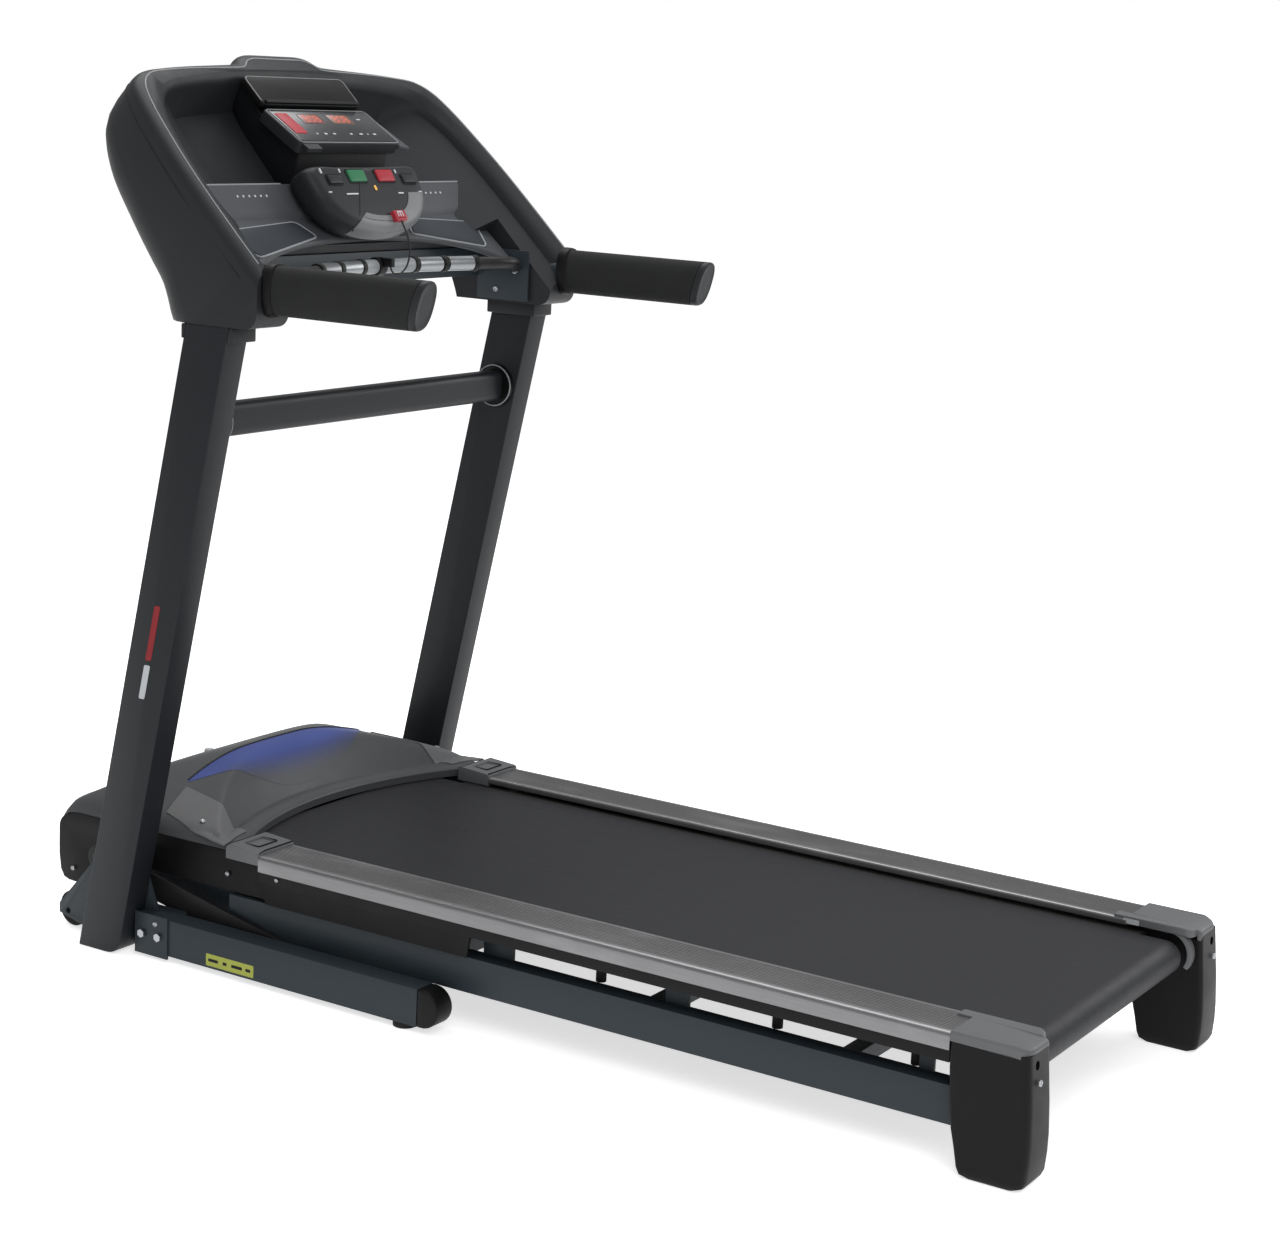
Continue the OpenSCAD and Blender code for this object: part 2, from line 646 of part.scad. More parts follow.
// Rear foot: a cap over the rail's end with a tapered leg down to the floor
module rear_foot() difference() {
    union() {
        difference() {
            across(289, 368) polygon([[13, 190], [20, 200], [34, rail_z + 4], [127.7, rail_z + 4], [127.7, 182],
                [119, 66], [100, 6], [92, 0], [14, 0], [4, 8], [0, 40]]);
            // leg tapers inwards on its outer face
            translate([368, 0, 0]) rotate([0, -3, 0]) block([0, -1, -30], [40, 140, 170]);
        }
        across(rail_in + 2, 289.1) polygon([[22, 190], [34, rail_z + 4], [127.7, rail_z + 4], [127.7, 188], [22, 188]]);
    }
    // pocket for the frame tube, the axle and the deck's edge
    block([286, 18, frame_lo - 0.5], [frame_out + 0.5, 128, 189]);
    block([frame_out - 2, 118, 150], [rail_out + 1, 129, 187]);
    // round hole on the tail face for the belt's tension bolt
    translate([332, -1, roller_z + 18]) rotate([-90, 0, 0]) cylinder(h = 12, r = 6, $fn = 36);
}

module rear_foot_left() color(black) from_tail() mirror([1, 0, 0]) rear_foot();

module rear_foot_right() color(black) from_tail() rear_foot();

// ---- motor bay -----------------------------------------------------------------

hood_half = 339;
lip_y = 842.5;                  // station of the centre of the hood's arched rear lip
lip_r = 637.5;                  // radius of that lip
lip_z = 195;                    // height of that lip

// Outline of the hood along the middle of the machine
module hood_side_2d(t) offset(delta = -t) polygon([[1404, 160], [1404, 262], [1470, 276], [1600, 276], [1640, 270],
    [1700, 247], [1755, 212], [1780, 170], [length, 110], [1782, 84], [1762, 66], [1712, 66], [1712, 120],
    [1660, 152]]);

// Outline of the hood across the machine
module hood_cross_2d(t) offset(delta = -t) polygon([[-hood_half, 60], [-hood_half, 190], [-325, 210], [-280, 229],
    [-200, 254], [-100, 277], [0, 282], [100, 277], [200, 254], [280, 229], [325, 210], [hood_half, 190],
    [hood_half, 60]]);

// Space above and behind the slope that rises from the arched lip
module lip_space(t, low) translate([0, lip_y, 0]) rotate_extrude($fn = 180) polygon([[0, low], [lip_r, low],
    [lip_r, lip_z - t], [lip_r + 20, 222 - t], [lip_r + 50, 252 - t], [lip_r + 90, 272 - t], [lip_r + 120, 300],
    [0, 300]]);

module hood_body(t, low) difference() {
    intersection() {
        across(-hood_half, hood_half) hood_side_2d(t);
        translate([0, 1800, 0]) rotate([90, 0, 0]) linear_extrude(420) hood_cross_2d(t);
    }
    lip_space(t, low);
}

module motor_hood() color(satin_grey) from_tail() difference() {
    hood_body(0, 50);
    hood_body(3, lip_z - 3);
    // open underneath and towards the belt
    block([-334, 1406, 60], [334, 1712, 168]);
    block([-330, 1700, 60], [330, 1770, 150]);
    block([-320, 1380, 60], [320, 1410, 192]);
    both_sides() block([frame_in - 5, 1390, 60], [360, 1668, 186]);
    both_sides() bar_x(300, 345, [fold_y, fold_z], 24);
    both_sides() block([300, 1390, 60], [350, 1712, 152]);
    // windows for the switch, the inlet and the breaker
    block([-250.5, 1740, 93.5], [-221.5, 1800, 114.5]);
    block([-200.5, 1740, 90.5], [-159.5, 1800, 117.5]);
    translate([-140, 1740, 104]) rotate([-90, 0, 0]) cylinder(h = 60, r = 6.5, $fn = 36);
    // vents in the nose
    for (i = [-6:6]) block([i * 34 - 10, 1740, 132], [i * 34 + 10, 1800, 138]);
}

module belly_pan() color(black) from_tail() across(-frame_in + 0.5, frame_in - 0.5)
    polygon([[1712, 70], [1760, 70], [1760, 73], [1715, 73], [1715, 147], [1655.3, 147], [1655.3, 144], [1712, 144]]);

module drive_motor() color(black) from_tail() {
    difference() {
        union() {
            bar_x(-20, 180, [motor_y, motor_z], 43);
            block([0, motor_y - 42, 147], [160, motor_y + 42, 172]);
        }
        bar_x(-30, 200, [motor_y, motor_z], 8 + fit);
    }
}

module motor_rotor() color(silver) from_tail() {
    bar_x(-70, pulley_x + 11, [motor_y, motor_z], 8);
    bar_x(pulley_x - 11, pulley_x + 11, [motor_y, motor_z], motor_pulley_r);
    bar_x(200, 222, [motor_y, motor_z], 40);
    bar_x(-62, -50, [motor_y, motor_z], 40);
}

// Outline round both pulleys, t outside them
module drive_loop(t) hull() {
    translate([front_roller_y, roller_z]) circle(front_pulley_r + t, $fn = 64);
    translate([motor_y, motor_z]) circle(motor_pulley_r + t, $fn = 64);
}

module drive_belt() color(black) from_tail() across(pulley_x - 9, pulley_x + 9) difference() {
    drive_loop(3);
    drive_loop(0.4);
}

module motor_controller() color([0.05, 0.3, 0.12]) from_tail() {
    block([-260, 1510, 160], [-110, 1640, 162]);
    for (i = [0:9]) block([-258 + i * 15, 1600, 162], [-254 + i * 15, 1638, 200]);
    for (x = [-256, -120], y = [1516, 1630]) translate([x, y, 147]) cylinder(h = 13, r = 4, $fn = 24);
}

// Socket for the mains lead and the reset button of the breaker, in the hood's nose
module power_inlet() color(black) from_tail() {
    difference() {
        block([-200, 1752, 91], [-160, 1781, 117]);
        block([-194, 1762, 95], [-166, 1790, 113]);
    }
    for (x = [-187, -180, -173]) block([x - 1, 1755, 102], [x + 1, 1774, 106]);
    translate([-140, 1752, 104]) rotate([-90, 0, 0]) cylinder(h = 31, r = 6, $fn = 36);
}

// Rocker with its round pivot barrel
module power_switch() color(black) from_tail() {
    bar_x(-249, -223, [1774, 104], 7);
    block([-249, 1773, 95], [-223, 1784, 113]);
}

base_frame();
base_end_caps();
leveling_feet();
base_bolts();
upright_left();
upright_right();
crossbar();
crossbar_collars();
wheel_brackets();
transport_wheel_left();
transport_wheel_right();
console_bracket();
console_shell();
console_tray();
reading_rack();
display_panel();
display_windows();
console_board();
control_pod();
pod_trim();
start_key();
stop_key();
adjust_key_left();
adjust_key_right();
safety_key();
lanyard();
lanyard_clip();
pulse_bar();
pulse_grips();
handlebar_tubes();
handlebar_grips();
handlebar_caps();
upright_boots();
lift_frame();
fold_frame();
gas_cylinder();
gas_rod();
incline_motor();
incline_screw();
deck_frame();
deck_board();
deck_cushions();
running_belt();
front_roller();
rear_roller();
roller_axles();
rail_left();
rail_right();
rail_end_plates();
side_skirts();
rear_foot_left();
rear_foot_right();
motor_hood();
belly_pan();
drive_motor();
motor_rotor();
drive_belt();
motor_controller();
power_inlet();
power_switch();
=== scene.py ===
"""Looks of a folding motorised treadmill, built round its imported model.

Frame: +X to the runner's right, +Y from the tail to the nose, +Z up, in metres.
Shapes are drawn in millimetre stations measured from the tail, as the part's own
source draws them, and each piece is moved to the frame's origin as it is finished.
"""

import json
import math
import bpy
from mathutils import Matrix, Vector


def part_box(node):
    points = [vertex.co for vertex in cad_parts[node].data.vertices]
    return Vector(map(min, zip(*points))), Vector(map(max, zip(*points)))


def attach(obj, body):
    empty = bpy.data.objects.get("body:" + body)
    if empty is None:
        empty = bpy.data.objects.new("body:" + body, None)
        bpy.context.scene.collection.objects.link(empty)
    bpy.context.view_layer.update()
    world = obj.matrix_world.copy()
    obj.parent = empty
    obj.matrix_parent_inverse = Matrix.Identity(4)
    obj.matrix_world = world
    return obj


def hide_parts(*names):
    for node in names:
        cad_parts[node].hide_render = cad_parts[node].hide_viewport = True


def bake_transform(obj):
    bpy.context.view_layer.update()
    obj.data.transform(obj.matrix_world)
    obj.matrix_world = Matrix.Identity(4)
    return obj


bl_info = {
    "name": "Treadmill looks",
    "version": (1, 0, 0),
    "blender": (4, 5, 0),
    "location": "3D View > Sidebar > Treadmill",
    "description": "Builds the visible pieces of a folding treadmill round its packed model",
    "category": "Add Mesh",
}

import bmesh
import bpy
from bpy.props import FloatProperty, FloatVectorProperty, IntProperty, PointerProperty
from mathutils import Matrix, Vector

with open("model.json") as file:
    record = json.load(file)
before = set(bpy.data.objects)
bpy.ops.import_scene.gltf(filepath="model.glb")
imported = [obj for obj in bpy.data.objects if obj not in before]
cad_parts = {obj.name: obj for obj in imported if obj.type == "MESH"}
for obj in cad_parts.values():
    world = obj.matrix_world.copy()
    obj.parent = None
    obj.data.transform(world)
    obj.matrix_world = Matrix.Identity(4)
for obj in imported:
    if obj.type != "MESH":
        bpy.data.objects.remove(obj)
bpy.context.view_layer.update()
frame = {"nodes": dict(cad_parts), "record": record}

MM = 0.001
TAIL = 893.0            # distance from the tail to the frame's origin


# ---- placing ---------------------------------------------------------------

def place(x, y, z):
    """A station point in millimetres as a point of the frame in metres."""
    return Vector((x, y - TAIL, z)) * MM


def tilt(station, height, degrees):
    """Placing rule of a plane tilted back about a (station, height) point."""
    c, s = math.cos(math.radians(degrees)), math.sin(math.radians(degrees))
    return lambda x, y, z=0.0: (x, station + y * c - z * s, height + y * s + z * c)


RIM = tilt(1307, 1127, 43.5)        # the console's front rim
TRAY = tilt(1401, 1129, 40)         # floor of the tray
STEP = tilt(1470, 1193, 62)         # step behind the tray, with the vents
PANEL = tilt(1469, 1302, 31.7)      # display
RACK = tilt(1557, 1356, 44)         # reading rack
POD = tilt(1430, 1208, 58)          # keypad housing


def mast_front(z):
    """Station of the uprights' front edge at a height."""
    return 1654 - z * math.tan(math.radians(11.7))


# ---- lines and outlines ----------------------------------------------------

def spline(points, step=8.0, closed=False):
    """Smooth line through the points, with a sample about every step."""
    pts = [Vector(p) for p in points]
    count = len(pts)
    line = []
    for i in range(count if closed else count - 1):
        a, b = pts[i], pts[(i + 1) % count]
        before = pts[i - 1] if closed or i else 2 * a - b
        after = pts[(i + 2) % count] if closed or i + 2 < count else 2 * b - a
        parts = max(1, round((b - a).length / step))
        for k in range(parts):
            t = k / parts
            line.append(0.5 * (2 * a + (b - before) * t
                               + (2 * before - 5 * a + 4 * b - after) * t * t
                               + (3 * a - before - 3 * b + after) * t ** 3))
    return line if closed else line + [pts[-1]]


def rounded(outline, radius, steps=5):
    """Closed outline whose corners are rounded; radius is one number or one per corner."""
    pts = [Vector(p) for p in outline]
    radii = radius if isinstance(radius, (list, tuple)) else [radius] * len(pts)
    line = []
    for i, corner in enumerate(pts):
        back, ahead = pts[i - 1] - corner, pts[(i + 1) % len(pts)] - corner
        reach = min(radii[i], 0.45 * back.length, 0.45 * ahead.length)
        if reach <= 0:
            line.append(corner)
            continue
        start, end = corner + back.normalized() * reach, corner + ahead.normalized() * reach
        for k in range(steps + 1):
            t = k / steps
            line.append(start * (1 - t) ** 2 + corner * 2 * t * (1 - t) + end * t * t)
    return line


def oblong(width, height, radius, centre=(0, 0), steps=5):
    """Rectangle with round corners."""
    w, h = width / 2, height / 2
    corners = [(-w, -h), (w, -h), (w, h), (-w, h)]
    return rounded([(centre[0] + x, centre[1] + y) for x, y in corners], radius, steps)


def table(points, step=2.0):
    """Smooth rule from the first number of the points to the second."""
    line = spline(points, step)

    def value(v):
        for a, b in zip(line, line[1:]):
            if v <= b[0]:
                share = 0 if b[0] == a[0] else (v - a[0]) / (b[0] - a[0])
                return a[1] + (b[1] - a[1]) * max(0.0, share)
        return line[-1][1]
    return value


def both(half):
    """A right-hand half line and its mirror image as one line, right to left."""
    return [Vector(p) for p in half] + [Vector((-p[0], p[1])) for p in reversed(half[:-1])]


def middle_of(outline):
    return sum((Vector(p[:2]) for p in outline), Vector((0, 0))) / len(outline)


def toward_centre(point, outline, inset):
    """A point moved towards the middle of an outline."""
    return Vector(point) + (middle_of(outline) - Vector(point)).normalized() * inset


# ---- meshes ----------------------------------------------------------------

def settle(piece):
    """Applies the piece's modifiers, so that what is left is a plain mesh."""
    bpy.context.view_layer.update()
    graph = bpy.context.evaluated_depsgraph_get()
    made = bpy.data.meshes.new_from_object(piece.evaluated_get(graph))
    rough = piece.data
    piece.modifiers.clear()
    piece.data = made
    made.name = piece.name
    bpy.data.meshes.remove(rough)
    return piece


def shade(mesh, degrees):
    mesh.shade_smooth()
    mesh.set_sharp_from_angle(angle=math.radians(degrees))


class Shell:
    """Gathers faces drawn in stations and finishes them as one piece."""

    def __init__(self):
        self.mesh = bmesh.new()

    def loft(self, rings, closed=True, caps=True, slot=0, wrap=False):
        """Faces between rings that have the same number of points."""
        rows = [[self.mesh.verts.new(place(*p)) for p in ring] for ring in rings]
        pairs = list(zip(rows, rows[1:])) + ([(rows[-1], rows[0])] if wrap else [])
        for a, b in pairs:
            for i in range(len(a) if closed else len(a) - 1):
                j = (i + 1) % len(a)
                self.mesh.faces.new((a[i], a[j], b[j], b[i])).material_index = slot
        if caps and not wrap:
            for row in (rows[0], rows[-1]):
                self.mesh.faces.new(row).material_index = slot
        return self

    def slab(self, outline, rule, low, high, slot=0):
        """An outline on a placing rule, from one height above its plane to another."""
        return self.loft([[rule(p[0], p[1], h) for p in outline] for h in (low, high)], slot=slot)

    def pill(self, outline, rule, low, high, lip, slot=0, crown=0.0):
        """A slab whose upper edge is rounded by lip and whose face swells by crown."""
        centre = middle_of(outline)
        levels = [(0, low), (0, high - lip)]
        levels += [(lip * (1 - math.cos(a)), high - lip * (1 - math.sin(a)))
                   for a in (math.radians(d) for d in (22, 45, 68, 90))]
        rings = []
        for inset, height in levels:
            ring = []
            for p in outline:
                inward = centre - Vector(p[:2])
                q = Vector(p[:2]) + inward.normalized() * inset
                ring.append(rule(q.x, q.y, height))
            rings.append(ring)
        for share in (0.66, 0.33) if crown else ():
            ring = []
            for p in outline:
                q = centre + (Vector(p[:2]) - centre) * share
                ring.append(rule(q.x, q.y, high + crown * (1 - share ** 2)))
            rings.append(ring)
        return self.loft(rings, slot=slot)

    def across(self, outline, x0, x1, slot=0):
        """A (station, height) outline carried across the machine from x0 to x1."""
        return self.loft([[(x, p[0], p[1]) for p in outline] for x in (x0, x1)], slot=slot)

    def turned(self, profile, centre, slot=0, sides=48, closed=False):
        """A profile of (x, radius) turned about the X axis through (station, height)."""
        rings = []
        for x, r in profile:
            rings.append([(x, centre[0] + r * math.cos(a), centre[1] + r * math.sin(a))
                          for a in (math.tau * k / sides for k in range(sides))])
        return self.loft(rings, caps=not closed, slot=slot, wrap=closed)

    def tube(self, path, radius, sides=12, slot=0, closed=False):
        """A round bar along a path of station points."""
        pts = [Vector(p) for p in path]
        side = Vector((0.31, 0.17, 0.93))
        rings = []
        for i, p in enumerate(pts):
            ahead = pts[(i + 1) % len(pts)] if closed else pts[min(i + 1, len(pts) - 1)]
            behind = pts[i - 1] if closed or i else pts[0]
            along = (ahead - behind).normalized()
            side = (side - along * side.dot(along)).normalized()
            up = along.cross(side)
            rings.append([p + radius * (math.cos(a) * side + math.sin(a) * up)
                          for a in (math.tau * k / sides for k in range(sides))])
        return self.loft(rings, caps=not closed, slot=slot, wrap=closed)

    def mirrored(self):
        """Adds the mirror image of everything drawn so far."""
        made = bmesh.ops.duplicate(self.mesh, geom=self.mesh.verts[:] + self.mesh.faces[:])["geom"]
        turned = [g for g in made if isinstance(g, bmesh.types.BMVert)]
        for v in turned:
            v.co.x = -v.co.x
        faces = [g for g in made if isinstance(g, bmesh.types.BMFace)]
        bmesh.ops.reverse_faces(self.mesh, faces=faces)
        return self

    def raw(self, name, closed=True):
        """The faces as an object, with doubles merged and faces pointing outwards."""
        bmesh.ops.remove_doubles(self.mesh, verts=self.mesh.verts, dist=0.00002)
        if closed:
            bmesh.ops.recalc_face_normals(self.mesh, faces=self.mesh.faces)
        data = bpy.data.meshes.new(name)
        self.mesh.to_mesh(data)
        self.mesh.free()
        piece = bpy.data.objects.new(name, data)
        bpy.context.scene.collection.objects.link(piece)
        return piece

    def finish(self, name, body, finishes, slot, replaces=(), bevel=0.0, angle=32, closed=True,
               wall=0.0):
        piece = self.raw(name, closed)
        return dress(piece, body, finishes, replaces, bevel, angle, wall)


def dress(piece, body, finishes, replaces=(), bevel=0.0, angle=32, wall=0.0):
    """Gives a piece its wall, bevels, finishes, shading, body and material slot."""
    for each in finishes if isinstance(finishes, (list, tuple)) else [finishes]:
        piece.data.materials.append(FINISH[each])
    if wall:
        skin = piece.modifiers.new("wall", "SOLIDIFY")
        skin.thickness, skin.offset = wall * MM, -1
    if bevel:
        edge = piece.modifiers.new("edges", "BEVEL")
        edge.width, edge.segments = bevel * MM, 3
        edge.limit_method, edge.angle_limit = "ANGLE", math.radians(angle)
        edge.miter_outer = "MITER_ARC"
    if wall or bevel:
        settle(piece)
    shade(piece.data, angle)
    if replaces:
        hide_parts(*replaces)
    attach(piece, body)
    return piece


def face_up(piece):
    """Turns an open sheet's faces over if they point down."""
    if sum(p.normal.z * p.area for p in piece.data.polygons) < 0:
        piece.data.flip_normals()


def carve(piece, tool, operation="DIFFERENCE"):
    """Cuts a piece by a closed tool, which is used up."""
    cut = piece.modifiers.new("cut", "BOOLEAN")
    cut.object, cut.operation, cut.solver = tool, operation, "EXACT"
    cut.use_self = True
    settle(piece)
    bpy.data.objects.remove(tool)
    return piece


def refined(node, finish, bevel, angle=40):
    """A copy of a CAD node with its flat faces joined and its edges eased."""
    record = frame["record"]
    source = frame["nodes"][node]
    work = bmesh.new()
    work.from_mesh(source.data)
    bmesh.ops.remove_doubles(work, verts=work.verts, dist=0.00002)
    bmesh.ops.dissolve_limit(work, angle_limit=math.radians(1.5), verts=work.verts, edges=work.edges)
    data = bpy.data.meshes.new(node + "_eased")
    work.to_mesh(data)
    work.free()
    piece = bpy.data.objects.new(node + "_eased", data)
    bpy.context.scene.collection.objects.link(piece)
    body = next(b for b, names in record["behaviour"]["bodies"].items() if node in names)
    return dress(piece, body, finish, [node], bevel, angle)


# ---- finishes --------------------------------------------------------------

FINISH = {}
WEAVE = 1500.0          # radians per metre of the belt's waffle


class Value:
    """A shader socket: arithmetic on it adds Math nodes."""

    def __init__(self, paint, socket):
        self.paint, self.socket = paint, socket

    def maths(self, operation, *values):
        return self.paint.node("ShaderNodeMath", {"operation": operation}, dict(enumerate(values)))

    def __add__(self, other):
        return self.maths("ADD", self, other)

    def sine(self):
        return self.maths("SINE", self)

    def __sub__(self, other):
        return self.maths("SUBTRACT", self, other)

    def __rsub__(self, other):
        return self.maths("SUBTRACT", other, self)

    def __mul__(self, other):
        return self.maths("MULTIPLY", self, other)

    def __gt__(self, other):
        return self.maths("GREATER_THAN", self, other)

    __radd__ = __add__
    __rmul__ = __mul__


class Paint:
    """A procedural material under construction."""

    def __init__(self, name, metallic=0.0, coat=0.0, specular=0.5):
        self.material = bpy.data.materials.new(name)
        self.material.use_nodes = True
        self.tree = self.material.node_tree
        self.shader = self.tree.nodes["Principled BSDF"]
        self.shader.inputs["Metallic"].default_value = metallic
        self.shader.inputs["Coat Weight"].default_value = coat
        self.shader.inputs["Coat Roughness"].default_value = 0.25
        self.shader.inputs["Specular IOR Level"].default_value = specular
        self.where = self.node("ShaderNodeTexCoord", out="Object")
        FINISH[name] = self.material

    def node(self, kind, settings=None, sockets=None, out=0):
        made = self.tree.nodes.new(kind)
        for key, value in (settings or {}).items():
            setattr(made, key, value)
        for key, value in (sockets or {}).items():
            self.feed(value, made.inputs[key])
        return Value(self, made.outputs[out])

    def feed(self, value, socket):
        if isinstance(value, Value):
            self.tree.links.new(value.socket, socket)
        elif socket.type == "RGBA" and len(value) == 3:
            socket.default_value = (*value, 1)
        else:
            socket.default_value = value

    def noise(self, scale, stretch=(1, 1, 1), detail=2.0):
        spot = self.node("ShaderNodeMapping", None, {"Vector": self.where, "Scale": stretch})
        return self.node("ShaderNodeTexNoise", None, {"Vector": spot, "Scale": scale, "Detail": detail})

    def cells(self, scale):
        return self.node("ShaderNodeTexVoronoi", None, {"Vector": self.where, "Scale": scale})

    def axis(self, name):
        return self.node("ShaderNodeSeparateXYZ", None, {0: self.where}, out=name)

    def smooth(self, value, low, high):
        """0 below low and 1 above high, with a soft step between."""
        return self.node("ShaderNodeMapRange", {"interpolation_type": "SMOOTHSTEP"},
                         {"Value": value, "From Min": low, "From Max": high})

    def mix(self, share, a, b):
        return self.node("ShaderNodeMix", {"data_type": "RGBA"}, {0: share, 6: a, 7: b}, out=2)

    def done(self, colour, roughness, height=None, depth=0.1):
        """Joins colour, roughness and a height in millimetres to the shader."""
        self.feed(colour, self.shader.inputs["Base Color"])
        self.feed(roughness, self.shader.inputs["Roughness"])
        if height is not None:
            bump = self.node("ShaderNodeBump", None,
                             {"Strength": 1.0, "Distance": depth * MM, "Height": height})
            self.feed(bump, self.shader.inputs["Normal"])


def lighter(colour, by):
    return tuple(min(1.0, c * by) for c in colour)


def moulded(name, colour, roughness, grain=1100.0, depth=0.05, specular=0.17, coat=0.0):
    """Moulded plastic: a fine leathery grain, soft mottling and smudges."""
    paint = Paint(name, coat=coat, specular=specular)
    mottle, grit, smudge = paint.noise(7), paint.noise(grain, detail=3.0), paint.noise(22, detail=4.0)
    tone = paint.mix(mottle * 0.7 + grit * 0.3, lighter(colour, 0.82), lighter(colour, 1.2))
    paint.done(tone, smudge * 0.16 + grit * 0.06 + (roughness - 0.11), grit, depth)


def powder(name, colour, roughness):
    """Powder-coated steel: orange peel, a faint metal fleck and handling marks."""
    paint = Paint(name, specular=0.2)
    peel, fleck, haze = paint.noise(330, detail=1.0), paint.cells(2400), paint.noise(5, detail=3.0)
    tone = paint.mix(haze, lighter(colour, 0.85), lighter(colour, 1.15))
    tone = paint.mix(paint.smooth(fleck, 0.32, 0.2) * 0.35, tone, lighter(colour, 2.4))
    paint.done(tone, haze * 0.14 + peel * 0.06 + (roughness - 0.1), peel, 0.12)


def brushed(name, colour, roughness, stretch, depth=0.02):
    """Bright metal with fine drawn lines."""
    paint = Paint(name, metallic=1.0)
    lines, tarnish = paint.noise(60, stretch, 4.0), paint.noise(9)
    tone = paint.mix(lines * 0.6 + tarnish * 0.4, lighter(colour, 0.78), lighter(colour, 1.12))
    paint.done(tone, lines * 0.18 + tarnish * 0.1 + (roughness - 0.14), lines, depth)


def rubber(name, colour, roughness=0.82):
    paint = Paint(name, specular=0.25)
    grit, dust = paint.noise(900, detail=4.0), paint.noise(16, detail=4.0)
    tone = paint.mix(paint.smooth(dust, 0.45, 0.8) * 0.35, colour, lighter(colour, 2.2))
    paint.done(tone, dust * 0.1 + (roughness - 0.05), grit, 0.12)


def make_finishes(tones):
    powder("frame_paint", tones.frame_colour, 0.42)
    powder("upright_paint", tones.upright_colour, 0.44)
    powder("black_paint", (0.010, 0.010, 0.011), 0.45)
    brushed("zinc_steel", (0.4, 0.41, 0.43), 0.34, (1, 1, 9))
    brushed("grip_steel", (0.24, 0.25, 0.26), 0.36, (1, 9, 9))
    moulded("hood_plastic", tones.hood_colour, 0.44, 900, 0.06)
    moulded("console_plastic", tones.console_colour, 0.46, 1000, 0.06)
    moulded("tray_plastic", (0.05, 0.053, 0.058), 0.5, 1200, 0.05)
    moulded("black_plastic", tones.black_colour, 0.5, 1000, 0.06)
    moulded("deep_plastic", (0.006, 0.0065, 0.008), 0.55, 1100, 0.05)
    moulded("cap_plastic", (0.105, 0.108, 0.112), 0.48, 1000, 0.05)
    moulded("trim_plastic", (0.13, 0.133, 0.138), 0.38, 1400, 0.03)
    moulded("wing_plastic", (0.12, 0.122, 0.125), 0.42, 900, 0.04)
    moulded("bezel_gloss", (0.012, 0.013, 0.016), 0.2, 600, 0.01, coat=0.5)
    moulded("silver_plastic", (0.2, 0.21, 0.22), 0.36, 1400, 0.03)
    moulded("key_green", (0.022, 0.12, 0.055), 0.42, 1500, 0.04)
    moulded("key_red", (0.27, 0.022, 0.032), 0.4, 1500, 0.04)
    moulded("mark_light", (0.4, 0.42, 0.44), 0.5, 1500, 0.01)
    moulded("mark_amber", (0.62, 0.36, 0.08), 0.5, 1500, 0.01)
    moulded("plate_yellow", (0.3, 0.33, 0.06), 0.45, 600, 0.02)
    moulded("accent_red", (0.2, 0.012, 0.016), 0.4, 900, 0.02)
    rubber("black_rubber", (0.011, 0.011, 0.012))
    rubber("pad_rubber", (0.017, 0.021, 0.026), 0.7)

    rail = Paint("rail_aluminium", metallic=0.85)
    lines, wear = rail.noise(40, (30, 0.4, 30), 5.0), rail.noise(6, (3, 1, 3), 4.0)
    tone = rail.mix(lines, lighter(tones.rail_colour, 0.7), lighter(tones.rail_colour, 1.25))
    tone = rail.mix(rail.smooth(wear, 0.52, 0.75) * 0.3, tone, lighter(tones.rail_colour, 1.9))
    rail.done(tone, lines * 0.15 + wear * 0.12 + 0.28, lines, 0.03)

    foam = Paint("grip_foam", specular=0.2)
    cell, soft = foam.cells(1500), foam.noise(30, detail=3.0)
    tone = foam.mix(soft * 0.6 + cell * 0.4, (0.0075, 0.0078, 0.0082), (0.017, 0.0175, 0.018))
    foam.done(tone, soft * 0.12 + 0.74, cell * 0.7 + foam.noise(500) * 0.5, 0.18)

    belt = Paint("belt_pvc", specular=0.17)
    x, y = belt.axis("X"), belt.axis("Y")
    knobs = ((x + y) * WEAVE).sine() * ((x - y) * WEAVE).sine()
    trail, dust = belt.noise(14, (5, 0.35, 5), 4.0), belt.noise(420, detail=2.0)
    tone = belt.mix(dust * 0.5 + trail * 0.5, lighter(tones.belt_colour, 0.72),
                    lighter(tones.belt_colour, 1.3))
    belt.done(tone, trail * 0.16 + dust * 0.08 + 0.42, knobs * 0.5 + dust, 0.12)

    board = Paint("phenolic_board")
    fibre = board.noise(60, (1, 8, 1), 5.0)
    tone = board.mix(fibre, (0.006, 0.0055, 0.005), (0.014, 0.012, 0.0105))
    board.done(tone, fibre * 0.1 + 0.45, fibre, 0.05)

    circuit = Paint("circuit_board", coat=0.3)
    tracks = circuit.node("ShaderNodeTexBrick", None, {"Vector": circuit.where, "Scale": 140.0})
    blotch = circuit.noise(220)
    circuit.done(circuit.mix(blotch > 0.56, (0.012, 0.09, 0.035), (0.02, 0.16, 0.06)), 0.4, tracks, 0.04)

    cast = Paint("motor_black", metallic=0.3)
    skin = cast.noise(500, detail=5.0)
    cast.done(cast.mix(skin, (0.008, 0.008, 0.009), (0.03, 0.03, 0.032)), skin * 0.2 + 0.4, skin, 0.2)

    cord = Paint("cord_black", specular=0.3)
    braid = cord.noise(1400, (1, 1, 0.4), 3.0)
    cord.done(cord.mix(braid, (0.006, 0.006, 0.007), (0.02, 0.02, 0.022)), braid * 0.2 + 0.6, braid, 0.15)

